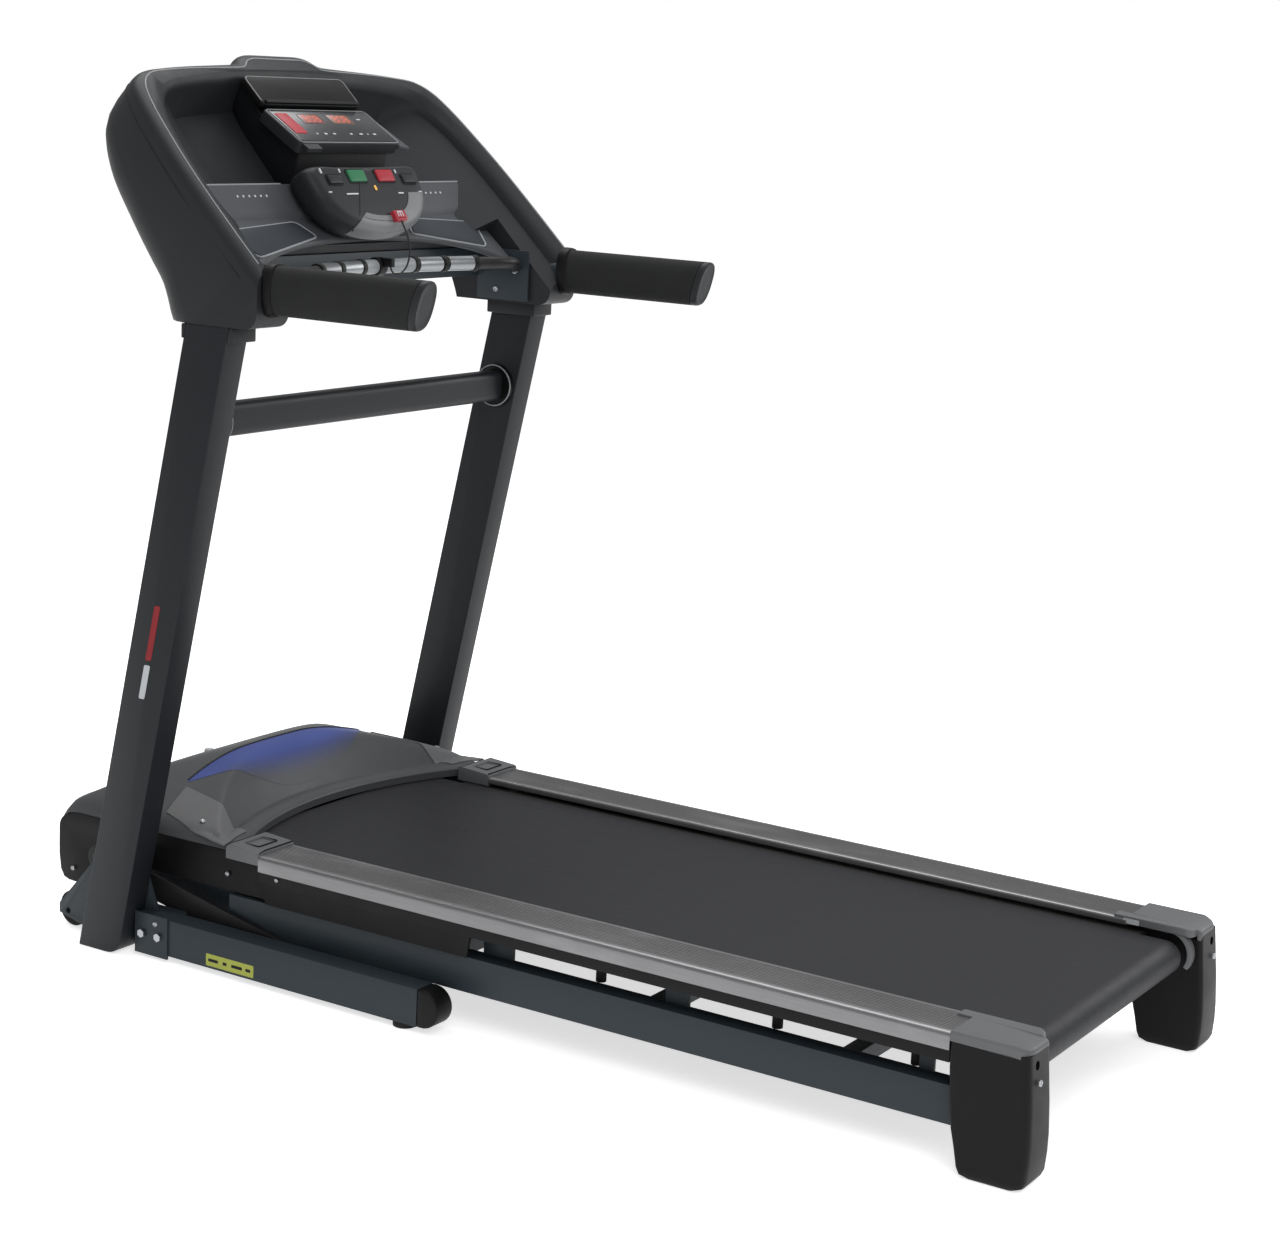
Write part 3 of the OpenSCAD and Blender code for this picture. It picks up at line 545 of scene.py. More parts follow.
    label = Paint("hood_label", specular=0.17)
    depth = label.smooth(label.axis("Y"), (1530 - TAIL) * MM, (1580 - TAIL) * MM)
    cloud, grit = label.noise(9, detail=3.0), label.noise(900, detail=3.0)
    blue = label.mix(cloud, (0.03, 0.05, 0.19), (0.06, 0.085, 0.28))
    label.done(label.mix(depth, tones.hood_colour, blue), cloud * 0.1 + 0.38, grit, 0.05)

    for name, glow in (("window_red", (0.75, 0.03, 0.02)), ("window_amber", (0.7, 0.2, 0.03))):
        window = Paint(name, coat=0.5)
        mottle = window.noise(900)
        tone = window.mix(mottle, lighter(glow, 0.07), lighter(glow, 0.12))
        window.done(tone, mottle * 0.1 + 0.25, mottle, 0.01)
    digit = Paint("digit_glow")
    flicker = digit.noise(800)
    digit.done(digit.mix(flicker, (0.5, 0.08, 0.04), (0.6, 0.1, 0.05)), 0.4, flicker, 0.01)
    digit.shader.inputs["Emission Color"].default_value = (1.0, 0.16, 0.06, 1)
    digit.shader.inputs["Emission Strength"].default_value = 0.22

    floor = Paint("studio_floor", specular=0.2)
    cloud = floor.noise(3, detail=3.0)
    floor.done(floor.mix(cloud, (0.86, 0.86, 0.86), (0.9, 0.9, 0.9)), cloud * 0.1 + 0.7)
    floor.shader.inputs["Emission Color"].default_value = (1, 1, 1, 1)
    floor.shader.inputs["Emission Strength"].default_value = 0.66


# ---- repeats made with Geometry Nodes --------------------------------------

class Tree:
    """A Geometry Nodes tree under construction, with named inputs."""

    def __init__(self, name, inputs):
        self.tree = bpy.data.node_groups.new(name, "GeometryNodeTree")
        face = self.tree.interface
        face.new_socket("Geometry", in_out="INPUT", socket_type="NodeSocketGeometry")
        for label, kind in inputs:
            face.new_socket(label, in_out="INPUT", socket_type="NodeSocket" + kind)
        face.new_socket("Geometry", in_out="OUTPUT", socket_type="NodeSocketGeometry")
        self.start = self.tree.nodes.new("NodeGroupInput")

    def __getitem__(self, label):
        return self.start.outputs[label]

    def node(self, kind, settings=None, sockets=None, out=0):
        made = self.tree.nodes.new(kind)
        for key, value in (settings or {}).items():
            setattr(made, key, value)
        for key, value in (sockets or {}).items():
            if isinstance(value, bpy.types.NodeSocket):
                self.tree.links.new(value, made.inputs[key])
            else:
                made.inputs[key].default_value = value
        return made.outputs[out]

    def finish(self, shape):
        real = self.node("GeometryNodeRealizeInstances", None, {"Geometry": shape})
        done = self.node("GeometryNodeSetMaterial", None, {"Geometry": real, "Material": self["Finish"]})
        end = self.tree.nodes.new("NodeGroupOutput")
        self.tree.links.new(done, end.inputs[0])
        return self.tree


def screw_tree():
    """Pan-headed socket screws on the host's points, along their facing."""
    t = Tree("screws", [("Radius", "Float"), ("Head", "Float"), ("Finish", "Material")])
    base = t.node("GeometryNodeMeshCone", {"fill_type": "NGON"},
                  {"Vertices": 24, "Radius Bottom": t["Radius"], "Radius Top": t.node(
                      "ShaderNodeMath", {"operation": "MULTIPLY"}, {0: t["Radius"], 1: 0.9}),
                   "Depth": t.node("ShaderNodeMath", {"operation": "MULTIPLY"}, {0: t["Head"], 1: 0.55})})
    path = t.node("GeometryNodeCurvePrimitiveCircle", None, {
        "Resolution": 24, "Radius": t.node("ShaderNodeMath", {"operation": "MULTIPLY"},
                                           {0: t["Radius"], 1: 0.68})})
    bead = t.node("GeometryNodeCurvePrimitiveCircle", None, {
        "Resolution": 8, "Radius": t.node("ShaderNodeMath", {"operation": "MULTIPLY"},
                                          {0: t["Radius"], 1: 0.26})})
    ring = t.node("GeometryNodeCurveToMesh", None, {"Curve": path, "Profile Curve": bead})
    lift = t.node("ShaderNodeCombineXYZ", None, {2: t.node(
        "ShaderNodeMath", {"operation": "MULTIPLY"}, {0: t["Head"], 1: 0.6})})
    ring = t.node("GeometryNodeTransform", None, {"Geometry": ring, "Translation": lift})
    join = t.tree.nodes.new("GeometryNodeJoinGeometry")
    t.tree.links.new(base, join.inputs[0])
    t.tree.links.new(ring, join.inputs[0])
    facing = t.node("GeometryNodeInputNamedAttribute", {"data_type": "FLOAT_VECTOR"}, {"Name": "facing"})
    turn = t.node("FunctionNodeAlignRotationToVector", {"axis": "Z"}, {"Vector": facing})
    size = t.node("GeometryNodeInputNamedAttribute", {"data_type": "FLOAT"}, {"Name": "size"})
    points = t.node("GeometryNodeMeshToPoints", None, {"Mesh": t["Geometry"]})
    heads = t.node("GeometryNodeInstanceOnPoints", None,
                   {"Points": points, "Instance": join.outputs[0], "Rotation": turn, "Scale": size})
    return t.finish(heads)


def row_tree(dots=False):
    """A row of equal bars, or of small domed dots, at even steps."""
    t = Tree("dots" if dots else "bars",
             [("Count", "Int"), ("Start", "Vector"), ("Step", "Vector"), ("Size", "Vector"),
              ("Turn", "Rotation"), ("Finish", "Material")])
    line = t.node("GeometryNodeMeshLine", None, {"Count": t["Count"], "Start Location": t["Start"],
                                                 "Offset": t["Step"]})
    if dots:
        shape = t.node("GeometryNodeMeshIcoSphere", None, {"Radius": 0.5, "Subdivisions": 2})
        shape = t.node("GeometryNodeTransform", None, {"Geometry": shape, "Scale": t["Size"]})
    else:
        bar = t.node("GeometryNodeMeshCube", None, {"Size": t["Size"]})
        peak = t.node("GeometryNodeTransform", None, {"Geometry": bar, "Scale": (0.55, 1.0, 1.35)})
        join = t.tree.nodes.new("GeometryNodeJoinGeometry")
        t.tree.links.new(bar, join.inputs[0])
        t.tree.links.new(peak, join.inputs[0])
        shape = join.outputs[0]
    row = t.node("GeometryNodeInstanceOnPoints", None,
                 {"Points": line, "Instance": shape, "Rotation": t["Turn"]})
    return t.finish(row)


def grow(name, tree, body, slot, host, **values):
    """Runs a tree on a host mesh and keeps the result as a plain mesh."""
    piece = bpy.data.objects.new(name, host)
    bpy.context.scene.collection.objects.link(piece)
    nodes = piece.modifiers.new("repeat", "NODES")
    nodes.node_group = tree
    for item in tree.interface.items_tree:
        if item.in_out == "INPUT" and item.name.lower() in values:
            nodes[item.identifier] = values[item.name.lower()]
    settle(piece)
    shade(piece.data, 40)
    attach(piece, body)
    return piece


def row(name, body, slot, finish, count, start, step, size, turn=0.0, dots=False):
    """A row in stations: bars or dots of a size, tipped back by turn degrees."""
    key = "dots" if dots else "bars"
    tree = bpy.data.node_groups.get(key) or row_tree(dots)
    return grow(name, tree, body, slot, bpy.data.meshes.new(name), count=count, start=place(*start),
                step=Vector(step) * MM, size=Vector(size) * MM,
                turn=(math.radians(turn), 0.0, 0.0), finish=FINISH[finish])


def screws(name, body, finish, places, radius, head):
    """Screws at (point, facing, size) places, in stations."""
    host = bpy.data.meshes.new(name)
    host.from_pydata([place(*p) for p, _, _ in places], [], [])
    host.attributes.new("facing", "FLOAT_VECTOR", "POINT")
    host.attributes.new("size", "FLOAT", "POINT")
    for i, (_, way, scale) in enumerate(places):
        host.attributes["facing"].data[i].vector = way
        host.attributes["size"].data[i].value = scale
    tree = bpy.data.node_groups.get("screws") or screw_tree()
    return grow(name, tree, body, "zinc_steel", host, radius=radius * MM, head=head * MM,
                finish=FINISH[finish])


def mirrored_places(places):
    """Screw places and their mirror images."""
    return places + [((-p[0], p[1], p[2]), (-w[0], w[1], w[2]), s) for p, w, s in places]


# ---- stage -----------------------------------------------------------------

def make_stage(sizes):
    scene = bpy.context.scene
    scene.view_settings.view_transform = "Standard"
    lens = bpy.data.cameras.new("view")
    camera = bpy.data.objects.new("view", lens)
    scene.collection.objects.link(camera)
    yaw, pitch, roll = (math.radians(a) for a in (-58.237, -11.721, 2.780))
    camera.matrix_world = (Matrix.Translation((-3.4154, -2.1233, 1.4350))
                           @ Matrix.Rotation(yaw, 4, "Z")
                           @ Matrix.Rotation(math.pi / 2 + pitch, 4, "X")
                           @ Matrix.Rotation(roll, 4, "Z"))
    lens.sensor_width = 36.0
    lens.lens = sizes.lens
    lens.shift_x, lens.shift_y = 0.00615, -0.00384
    lens.clip_end = 200.0
    scene.camera = camera

    floor = Shell()
    floor.loft([[(x * 30000, y * 30000 + TAIL, -1.0) for x in (-1, 1)] for y in (-1, 1)],
               closed=False, caps=False)
    ground = floor.raw("studio_floor", closed=False)
    ground.data.materials.append(FINISH["studio_floor"])

    for name, spot, aim, size, power in (
            ("key_light", (-2.6, -2.4, 3.4), (0, 0, 0.5), 2.4, 70),
            ("top_light", (0.6, 1.0, 4.2), (0, 0, 0.4), 3.2, 140),
            ("side_light", (3.4, -1.6, 2.2), (0, 0, 0.6), 2.0, 60)):
        lamp = bpy.data.lights.new(name, "AREA")
        lamp.size, lamp.energy = size, power
        holder = bpy.data.objects.new(name, lamp)
        holder.location = spot
        holder.rotation_euler = (Vector(aim) - Vector(spot)).to_track_quat("-Z", "Y").to_euler()
        scene.collection.objects.link(holder)

    world = bpy.data.worlds.new("studio")
    world.use_nodes = True
    tree = world.node_tree
    sky = tree.nodes["Background"]
    sky.inputs["Color"].default_value = (1, 1, 1, 1)
    rays = tree.nodes.new("ShaderNodeLightPath")
    level = tree.nodes.new("ShaderNodeMapRange")
    level.inputs["To Min"].default_value = 0.42
    level.inputs["To Max"].default_value = 1.0
    tree.links.new(rays.outputs["Is Camera Ray"], level.inputs["Value"])
    tree.links.new(level.outputs[0], sky.inputs["Strength"])
    scene.world = world


# ---- tether ----------------------------------------------------------------

TETHER = [(28, 1382, 1184), (28, 1378, 1177), (28, 1373, 1168), (28, 1368, 1158), (27, 1364, 1148),
          (25, 1361, 1138), (22, 1360, 1128), (18, 1359, 1119), (13, 1359, 1111), (7, 1360, 1105),
          (0, 1361, 1101), (-7, 1362, 1100), (-13, 1363, 1101), (-18, 1364, 1105), (-20, 1365, 1110),
          (-20, 1365, 1116)]


def make_tether():
    shape = Shell().tube(bar_run(-0.115, -0.045, 3), 15.2, 28)
    shape.slab(oblong(10, 26, 2.5, (-20, 1373)), lambda x, y, z: (x, y, z), 1112, 1126)
    clip = shape.finish("tether_clip", "base", "black_plastic", "black_plastic", ["lanyard_clip"], bevel=1)
    run = spline(TETHER, 3.0)
    line = [place(*p) for p in run]
    tether = Shell().tube(run, 1.5, 12).raw("tether")
    tether.data.materials.append(FINISH["cord_black"])
    shade(tether.data, 40)
    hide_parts("lanyard")
    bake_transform(tether)


# ---- console ---------------------------------------------------------------

ARCH = [(427.5, -130), (427.5, -20), (427, 90), (423, 190), (414, 270), (402, 338), (384, 385), (352, 411),
        (300, 421), (240, 428), (170, 434), (124, 438), (104, 442), (88, 455), (66, 462), (30, 463), (0, 463)]
WELL = [(382, -90), (382, 60), (378, 180), (366, 268), (344, 336), (306, 374), (240, 389),
        (150, 398), (0, 401)]
HUB = 250                   # height up the rim that the arch closes towards
DEPTH = table([(-140, 209), (0, 209), (60, 206), (92, 192), (120, 180), (161, 174), (230, 165), (314, 154),
               (395, 130), (440, 100), (470, 66)])


def toward(point, inset):
    """A point of the arch moved inwards, towards the hub line."""
    return Vector(point) + (Vector((0, min(point[1], HUB))) - Vector(point)).normalized() * inset


def console_shell(sizes):
    arch = both(spline(ARCH, 12.0))
    lip = sizes.shell_round / MM
    rings = []
    for degrees in (0, 18, 36, 54, 72, 90):
        a = math.radians(degrees)
        rings.append([RIM(*toward(p, lip * (1 - math.sin(a))), -lip * (1 - math.cos(a))) for p in arch])
    for degrees in (0, 15, 30, 45, 60, 75, 90):
        a = math.radians(degrees)
        ring = []
        for p in arch:
            turn = min(64.0, 0.72 * DEPTH(p[1]))
            q = toward(p, turn * (1 - math.cos(a)))
            ring.append(RIM(q.x, q.y, -(DEPTH(q.y) - turn) - turn * math.sin(a)))
        rings.append(ring)
    for share in (0.15, 0.35, 0.6, 0.85, 1.0):
        ring = []
        for p in arch:
            q = toward(p, min(64.0, 0.72 * DEPTH(p[1])))
            q = q.lerp(Vector((0, min(q.y, HUB))), share)
            ring.append(RIM(q.x, q.y, -DEPTH(q.y)))
        rings.append(ring)
    body = Shell().loft(rings, caps=False)
    body.mesh.verts.ensure_lookup_table()
    body.mesh.faces.new(body.mesh.verts[:len(arch)])
    shell = body.raw("console_shell_body")

    side = rounded([(1301, 1036), (1301, 1600), (1760, 1600), (1760, 1036)], [30, 0, 0, 0], 8)
    carve(shell, Shell().across(side, -440, 440).raw("side"), "INTERSECT")

    well = both(spline(WELL, 14.0))
    cut = [[RIM(*toward(p, -out), w) for p in well]
           for out, w in ((23, 4), (20, 0.6), (16, -1.6), (10, -5), (5, -9), (1, -16), (-1, -26))]
    floor = []
    for p in well:
        x = math.copysign(min(abs(p.x), 262), p.x)
        v = min(p.y, 388 - 20 * (x / 262) ** 2)
        floor.append(RIM(x, v, -90 + 0.07 * v))
    tool = Shell().loft(cut + [floor])
    bmesh.ops.triangulate(tool.mesh, faces=[f for f in tool.mesh.faces if len(f.verts) > 4])
    carve(shell, tool.raw("well"))
    clear = [(1250, 990), (1250, 1130), (1395, 1212), (1457, 1126), (1900, 1126), (1900, 990)]
    carve(shell, Shell().across(clear, -352, 352).raw("clear"))
    dress(shell, "base", "console_plastic", ["console_shell"], angle=34)

    line = [p for p in both(spline(ARCH, 10.0)) if p.y > 2]
    # A thin light-grey bead along the rim: a painted highlight that stands in for the glint on the rim's
    # rounded edge.
    bead = Shell().tube([RIM(*toward(p, 18), -0.2) for p in line], 1.3, 8)
    bead.finish("shell_rim_highlight", "base", "silver_plastic", "silver_plastic")
    seam = Shell().tube([RIM(*toward(p, -0.1), -30) for p in line if abs(p.x) < 424 or p.y < 40], 0.9, 6)
    seam.finish("shell_seam", "base", "deep_plastic", "black_plastic")


def console_tray():
    front = table([(0, 38), (104, 34), (190, 24), (275, 2), (344, -38)])
    rows = []
    for k in range(-43, 44):
        x = k * 8.0
        f = front(abs(x))
        rows.append([TRAY(x, f + 8, -11), TRAY(x, f + 2, -9), TRAY(x, f, -5), TRAY(x, f + 1, -1.5),
                     TRAY(x, f + 4, 0.6), TRAY(x, f + 10, 0.9), TRAY(x, f + 14, 0.0),
                     TRAY(x, (f + 98) / 2, 0.0), TRAY(x, 80, 0.0), TRAY(x, 87, 1.4), STEP(x, 1, 3),
                     STEP(x, 6, 3.4), STEP(x, 44, 3.4), STEP(x, 50, 2), STEP(x, 52, -1), STEP(x, 50, -5),
                     STEP(x, 2, -5), TRAY(x, 90, -9), TRAY(x, (f + 98) / 2, -11)])
    Shell().loft(rows).finish("tray_floor", "base", "tray_plastic", "tray_plastic", ["console_tray"])
    pad = rounded([(300, 6), (128, 44), (152, 78), (322, 64)], [12, 10, 12, 14])
    pads, lips = Shell(), Shell()
    pads.pill(pad, TRAY, -1, 2.8, 1.4)
    lips.tube([TRAY(*toward_centre(p, pad, -3.2), 0.8) for p in pad], 1.9, 8, closed=True)
    pads.mirrored().finish("tray_pads", "base", "pad_rubber", "tray_plastic")
    lips.mirrored().finish("tray_pad_lips", "base", "silver_plastic", "silver_plastic")
    for side in (-1, 1):
        name = "tray_dots_left" if side < 0 else "tray_dots_right"
        row(name, "base", "silver_plastic", "mark_light", 6, STEP(side * 196, 30, 3.6), (side * 14, 0, 0),
            (4.4, 4.4, 1.6), 62, dots=True)
    ledge = Shell()
    for side in (-1, 1):
        ledge.tube([STEP(side * x, 51, 1.4) for x in (150, 220, 300, 343)], 1.6, 8)
    ledge.finish("tray_ledges", "base", "silver_plastic", "silver_plastic")


def display():
    frame_line = oblong(262, 96, 10, (0, 47))
    house = Shell()
    house.pill(frame_line, PANEL, -16, 4, 2.5)
    house.slab(oblong(36, 18, 4, (-108, -6)), PANEL, -4, 3)
    house.finish("display_housing", "base", "console_plastic", "bezel_gloss", ["display_panel"])
    Shell().pill(oblong(250, 86, 7, (0, 47)), PANEL, 3, 5.2, 0.8).finish(
        "display_face", "base", "bezel_gloss", "bezel_gloss")
    Shell().tube([PANEL(p[0], p[1], 4.0) for p in oblong(256, 91, 9, (0, 47))], 0.9, 8, closed=True).finish(
        "display_edge_line", "base", "silver_plastic", "silver_plastic")
    stack = [(1483, 1289), (1557, 1337), (1599, 1394), (1630, 1368), (1600, 1305), (1520, 1225), (1492, 1236)]
    Shell().across(stack, -116, 116).finish("display_pedestal", "base", "deep_plastic", "black_plastic",
                                            bevel=3)
    cheek = Shell()
    cheek.loft([[PANEL(124, 98, h), PANEL(172, 74, h - 14), PANEL(176, 8, h - 12), PANEL(128, -3, h)]
                for h in (-7, 1.5)])
    cheek.finish("display_cheek", "base", "tray_plastic", "tray_plastic", bevel=2)

    block = Shell().pill(oblong(30, 56, 3, (-104, 52)), PANEL, 4, 6.2, 0.8)
    block.finish("display_block", "base", "key_red", "key_red", ["display_windows"])
    red = Shell().pill(oblong(54, 25, 3, (-40, 65)), PANEL, 4, 6, 0.6)
    red.finish("window_left", "base", "window_red", "window_red")
    amber = Shell().pill(oblong(56, 25, 3, (35, 65)), PANEL, 4, 6, 0.6)
    amber.finish("window_right", "base", "window_amber", "window_red")
    digits = Shell()
    for centre in (-40, 35):
        for i in range(3):
            x = centre + (i - 1) * 14
            for dx, dy, w, h in ((0, 8, 7, 1.6), (0, -8, 7, 1.6), (0, 0, 7, 1.6), (-4.2, 4, 1.6, 6.5),
                                 (4.2, 4, 1.6, 6.5), (-4.2, -4, 1.6, 6.5), (4.2, -4, 1.6, 6.5)):
                if i != 1 or (dx, dy) != (0, 0):
                    digits.slab(oblong(w, h, 0.7, (x + dx, 65 + dy), 2), PANEL, 5.9, 6.3)
    digits.finish("window_digits", "base", "digit_glow", "window_red")
    marks = Shell()
    for x, w in ((-66, 4), (-44, 7), (-22, 7), (22, 6), (48, 8), (84, 8), (66, 3)):
        marks.slab(oblong(w, 3.4, 1.2, (x, 24), 2), PANEL, 5.0, 5.6)
    marks.slab(oblong(10, 2.6, 1, (84, 66), 2), PANEL, 5.0, 5.6)
    marks.finish("display_marks", "base", "mark_light", "silver_plastic")


def rack():
    plate = Shell().pill(oblong(254, 64, 12, (0, 30)), RACK, 0, 10, 3)
    plate.slab(oblong(240, 7, 3, (0, 3)), RACK, 9, 14)
    plate.finish("rack_plate", "base", "black_plastic", "black_plastic", ["reading_rack"])
    line = [p for p in oblong(250, 60, 11, (0, 30)) if p.y > 4]
    line.sort(key=lambda p: math.atan2(p.y - 4, p.x))
    Shell().tube([RACK(p.x, p.y, 9.4) for p in line], 1.0, 8).finish(
        "rack_edge_line", "base", "silver_plastic", "silver_plastic")


POD_LINE = [(-140, 60), (-144, 30), (-132, -4), (-104, -33), (-60, -51), (0, -57), (60, -51), (104, -33),
            (132, -4), (144, 30), (140, 60), (70, 63), (0, 64), (-70, 63)]
# each key's middle, size, finish and material slot
KEYS = {"start_key": (-32, 40, 44, 22, "key_green", "key_green"),
        "stop_key": (42, 40, 44, 22, "key_red", "key_red"),
        "adjust_key_left": (-92, 34, 34, 16, "console_plastic", "tray_plastic"),
        "adjust_key_right": (102, 34, 34, 16, "console_plastic", "tray_plastic")}


def keypad():
    line = spline(POD_LINE, 8.0, closed=True)
    levels = [(10, -30), (4, -24), (0, -12), (0, 4), (1, 10), (4, 15), (9, 19), (15, 21.3), (22, 22)]
    rings = [[POD(*toward_centre(p, line, inset), z) for p in line] for inset, z in levels]
    middle = Vector((0, 8))
    for share in (0.62, 0.4, 0.2):
        rings.append([POD(*(middle + (p - middle) * share), 22.0 + 1.5 * (1 - share)) for p in line])
    Shell().loft(rings).finish("keypad_housing", "base", "console_plastic", "console_plastic",
                               ["control_pod"])
    for name, (x, y, w, h, finish, slot) in KEYS.items():
        cap = Shell().pill(oblong(w - 1, h - 1, 3, (x, y)), POD, 15, 26, 1.4, crown=0.8)
        cap.finish(name + "_cap", name, finish, slot, [name])
    edge = Shell()
    for x, y, w, h, *_ in KEYS.values():
        edge.tube([POD(p[0], p[1], 22.9) for p in oblong(w + 3, h + 3, 4, (x, y))], 0.9, 6, closed=True)
    edge.finish("key_surrounds", "base", "deep_plastic", "black_plastic")
    skin = Shell()
    sector = [p for p in line if p.x > -78 and p.y < 16]
    sector.sort(key=lambda p: math.atan2(p.y - 20, p.x))
    rows = [[POD(*toward_centre(p, line, inset - 1.2), z + 0.6) for p in sector] for inset, z in levels[2:]]
    rows += [[POD(*(middle + (p - middle) * share), 23.2 + 1.5 * (1 - share)) for p in sector]
             for share in (0.76, 0.62)]
    skin.loft(rows, closed=False, caps=False)
    plate = skin.raw("key_trim", closed=False)
    if sum((p.center - place(*POD(0, 8, -10))).dot(p.normal) for p in plate.data.polygons) < 0:
        plate.data.flip_normals()
    dress(plate, "base", "trim_plastic", ["pod_trim"], wall=1.6)
    marks = Shell()
    for x, y, w, h in ((-118, 50, 4, 9), (-70, 50, 3, 7), (76, 48, 3, 7), (-62, 8, 30, 2.4), (66, 8, 14, 2.4),
                       (-116, 12, 8, 2), (120, 10, 8, 2)):
        marks.slab(oblong(w, h, 1, (x, y), 2), POD, 20.5, 23.8)
    marks.finish("keypad_marks", "base", "mark_light", "silver_plastic")
    Shell().slab(oblong(5, 9, 1.5, (4, 18), 2), POD, 20.5, 24.4).finish(
        "keypad_mark_amber", "base", "mark_amber", "silver_plastic")
    seam = ((26, 23.0), (0, 23.0), (-20, 22.6), (-32, 21.4), (-42, 15), (-49, 3))
    lines = Shell().tube([POD(-30 - (30 - y) * 0.6, y, z) for y, z in seam], 0.9, 6)
    lines.finish("keypad_seam", "base", "deep_plastic", "black_plastic")
    knob = Shell()
    knob.pill(oblong(17, 17, 8.4, (28, -36), 6), POD, 6, 24, 1)
    knob.pill(oblong(30, 18, 3.5, (28, -36)), POD, 23.5, 31.5, 1.8)
    for y in (-41, -36, -31):
        knob.slab(oblong(20, 1.8, 0.8, (28, y), 2), POD, 30.5, 31.5)
    knob.finish("safety_key_body", "safety_key", "key_red", "key_red", ["safety_key"])
    slip = Shell()
    for x in (22, 28, 34):
        slip.slab(oblong(2.2, 9, 0.8, (x, -34), 2), POD, 31.0, 31.7)
    slip.slab(oblong(15, 2.2, 0.8, (28, -30), 2), POD, 31.0, 31.7)
    slip.finish("safety_key_marks", "safety_key", "mark_light", "silver_plastic")


# ---- handlebars and pulse bar ----------------------------------------------

BAR_HALF, BAR_BOW, BAR_Y, BAR_Z = 262.0, 45.0, 1347.0, 1111.0
BAR_R = (BAR_HALF ** 2 + BAR_BOW ** 2) / 2 / BAR_BOW


def bar_point(share):
    """Point of the arched bar at a share of its half length."""
    a = math.asin(BAR_HALF / BAR_R) * share
    return (BAR_R * math.sin(a), BAR_Y + BAR_BOW - BAR_R * (1 - math.cos(a)), BAR_Z)


def bar_run(a, b, parts):
    return [bar_point(a + (b - a) * k / parts) for k in range(parts + 1)]


def pulse_bar():
    arm = spline([bar_point(0.9), bar_point(1), (292, 1344, 1110), (322, 1356, 1105), (345, 1374, 1100)], 6.0)
    bar = Shell().tube(arm, 10.4, 24).mirrored()
    bar.tube(bar_run(-0.92, 0.92, 72), 10.4, 24)
    bar.finish("pulse_tube", "base", "black_paint", "black_paint", ["pulse_bar"])
    grips, collars = Shell(), Shell()
    for a, b in ((-0.78, -0.56), (-0.5, -0.28), (0.28, 0.5), (0.56, 0.78)):
        grips.tube(bar_run(a, b, 10), 12.4, 28)
    for a in (-0.79, -0.53, -0.27, 0.27, 0.53, 0.79):
        collars.tube(bar_run(a - 0.022, a + 0.022, 3), 13.8, 28)
    grips.finish("pulse_plates", "base", "grip_steel", "zinc_steel", ["pulse_grips"])
    collars.finish("pulse_collars", "base", "black_plastic", "black_plastic", bevel=1.5)
    sleeve = Shell().tube(bar_run(-0.27, 0.27, 20), 12.0, 28)
    sleeve.finish("pulse_sleeve", "base", "silver_plastic", "silver_plastic")


def oval(x, y, z, half_w, half_h, slant, parts=40, power=0.8):
    """Flat-sided oval across the bar, leaning by slant for each millimetre of height."""
    ring = []
    for k in range(parts):
        a = math.tau * k / parts
        c, s = math.cos(a), math.sin(a)
        dx = half_w * math.copysign(abs(c) ** power, c)
        dz = half_h * math.copysign(abs(s) ** power, s)
        ring.append((x + dx, y - dz * slant, z + dz))
    return ring


def handlebars(sizes):
    x, z = 394, 1096
    w, h = sizes.grip_width / MM / 2, sizes.grip_height / MM / 2
    foam, cap = Shell(), Shell()
    lean = 30 / 110
    levels = [(1027.2, 0.97), (1028.6, 1.0), (1060, 1.0), (1130, 1.0), (1210, 1.0), (1284, 1.0),
              (1296, 0.99), (1299, 0.97)]
    rings = []
    for y, scale in levels:
        fade = lean * max(0.0, 1 - (y - 1027) / 180)
        rings.append(oval(x, y, z, w * scale, h * scale, fade))
    foam.loft(rings)
    foam.mirrored().finish("grip_foam", "base", "grip_foam", "grip_foam", ["handlebar_grips"])
    cap.loft([oval(x, y, z, w * s, h * s, lean) for y, s in
              ((1026.6, 0.965), (1025.6, 1.0), (1019.5, 1.0), (1016.5, 0.985), (1014.6, 0.95),
               (1013.9, 0.89), (1014.4, 0.84), (1014.4, 0.5))])
    cap.mirrored().finish("grip_end_caps", "base", "console_plastic", "tray_plastic", ["handlebar_caps"])
    root = Shell()
    root.loft([oval(x, y, z, w + g, h + g, 0.0) for y, g in
               ((1285, 0.6), (1286.5, 2.6), (1292, 3.4), (1300, 3.6), (1303, 3.0))])
    root.mirrored().finish("grip_root_collars", "base", "black_plastic", "black_plastic")


# ---- uprights --------------------------------------------------------------

MAST_IN, MAST_OUT, MAST_DEPTH, MAST_TOP = 380, 428.6, 85, 1035.7
CROSSBAR_Z = 884


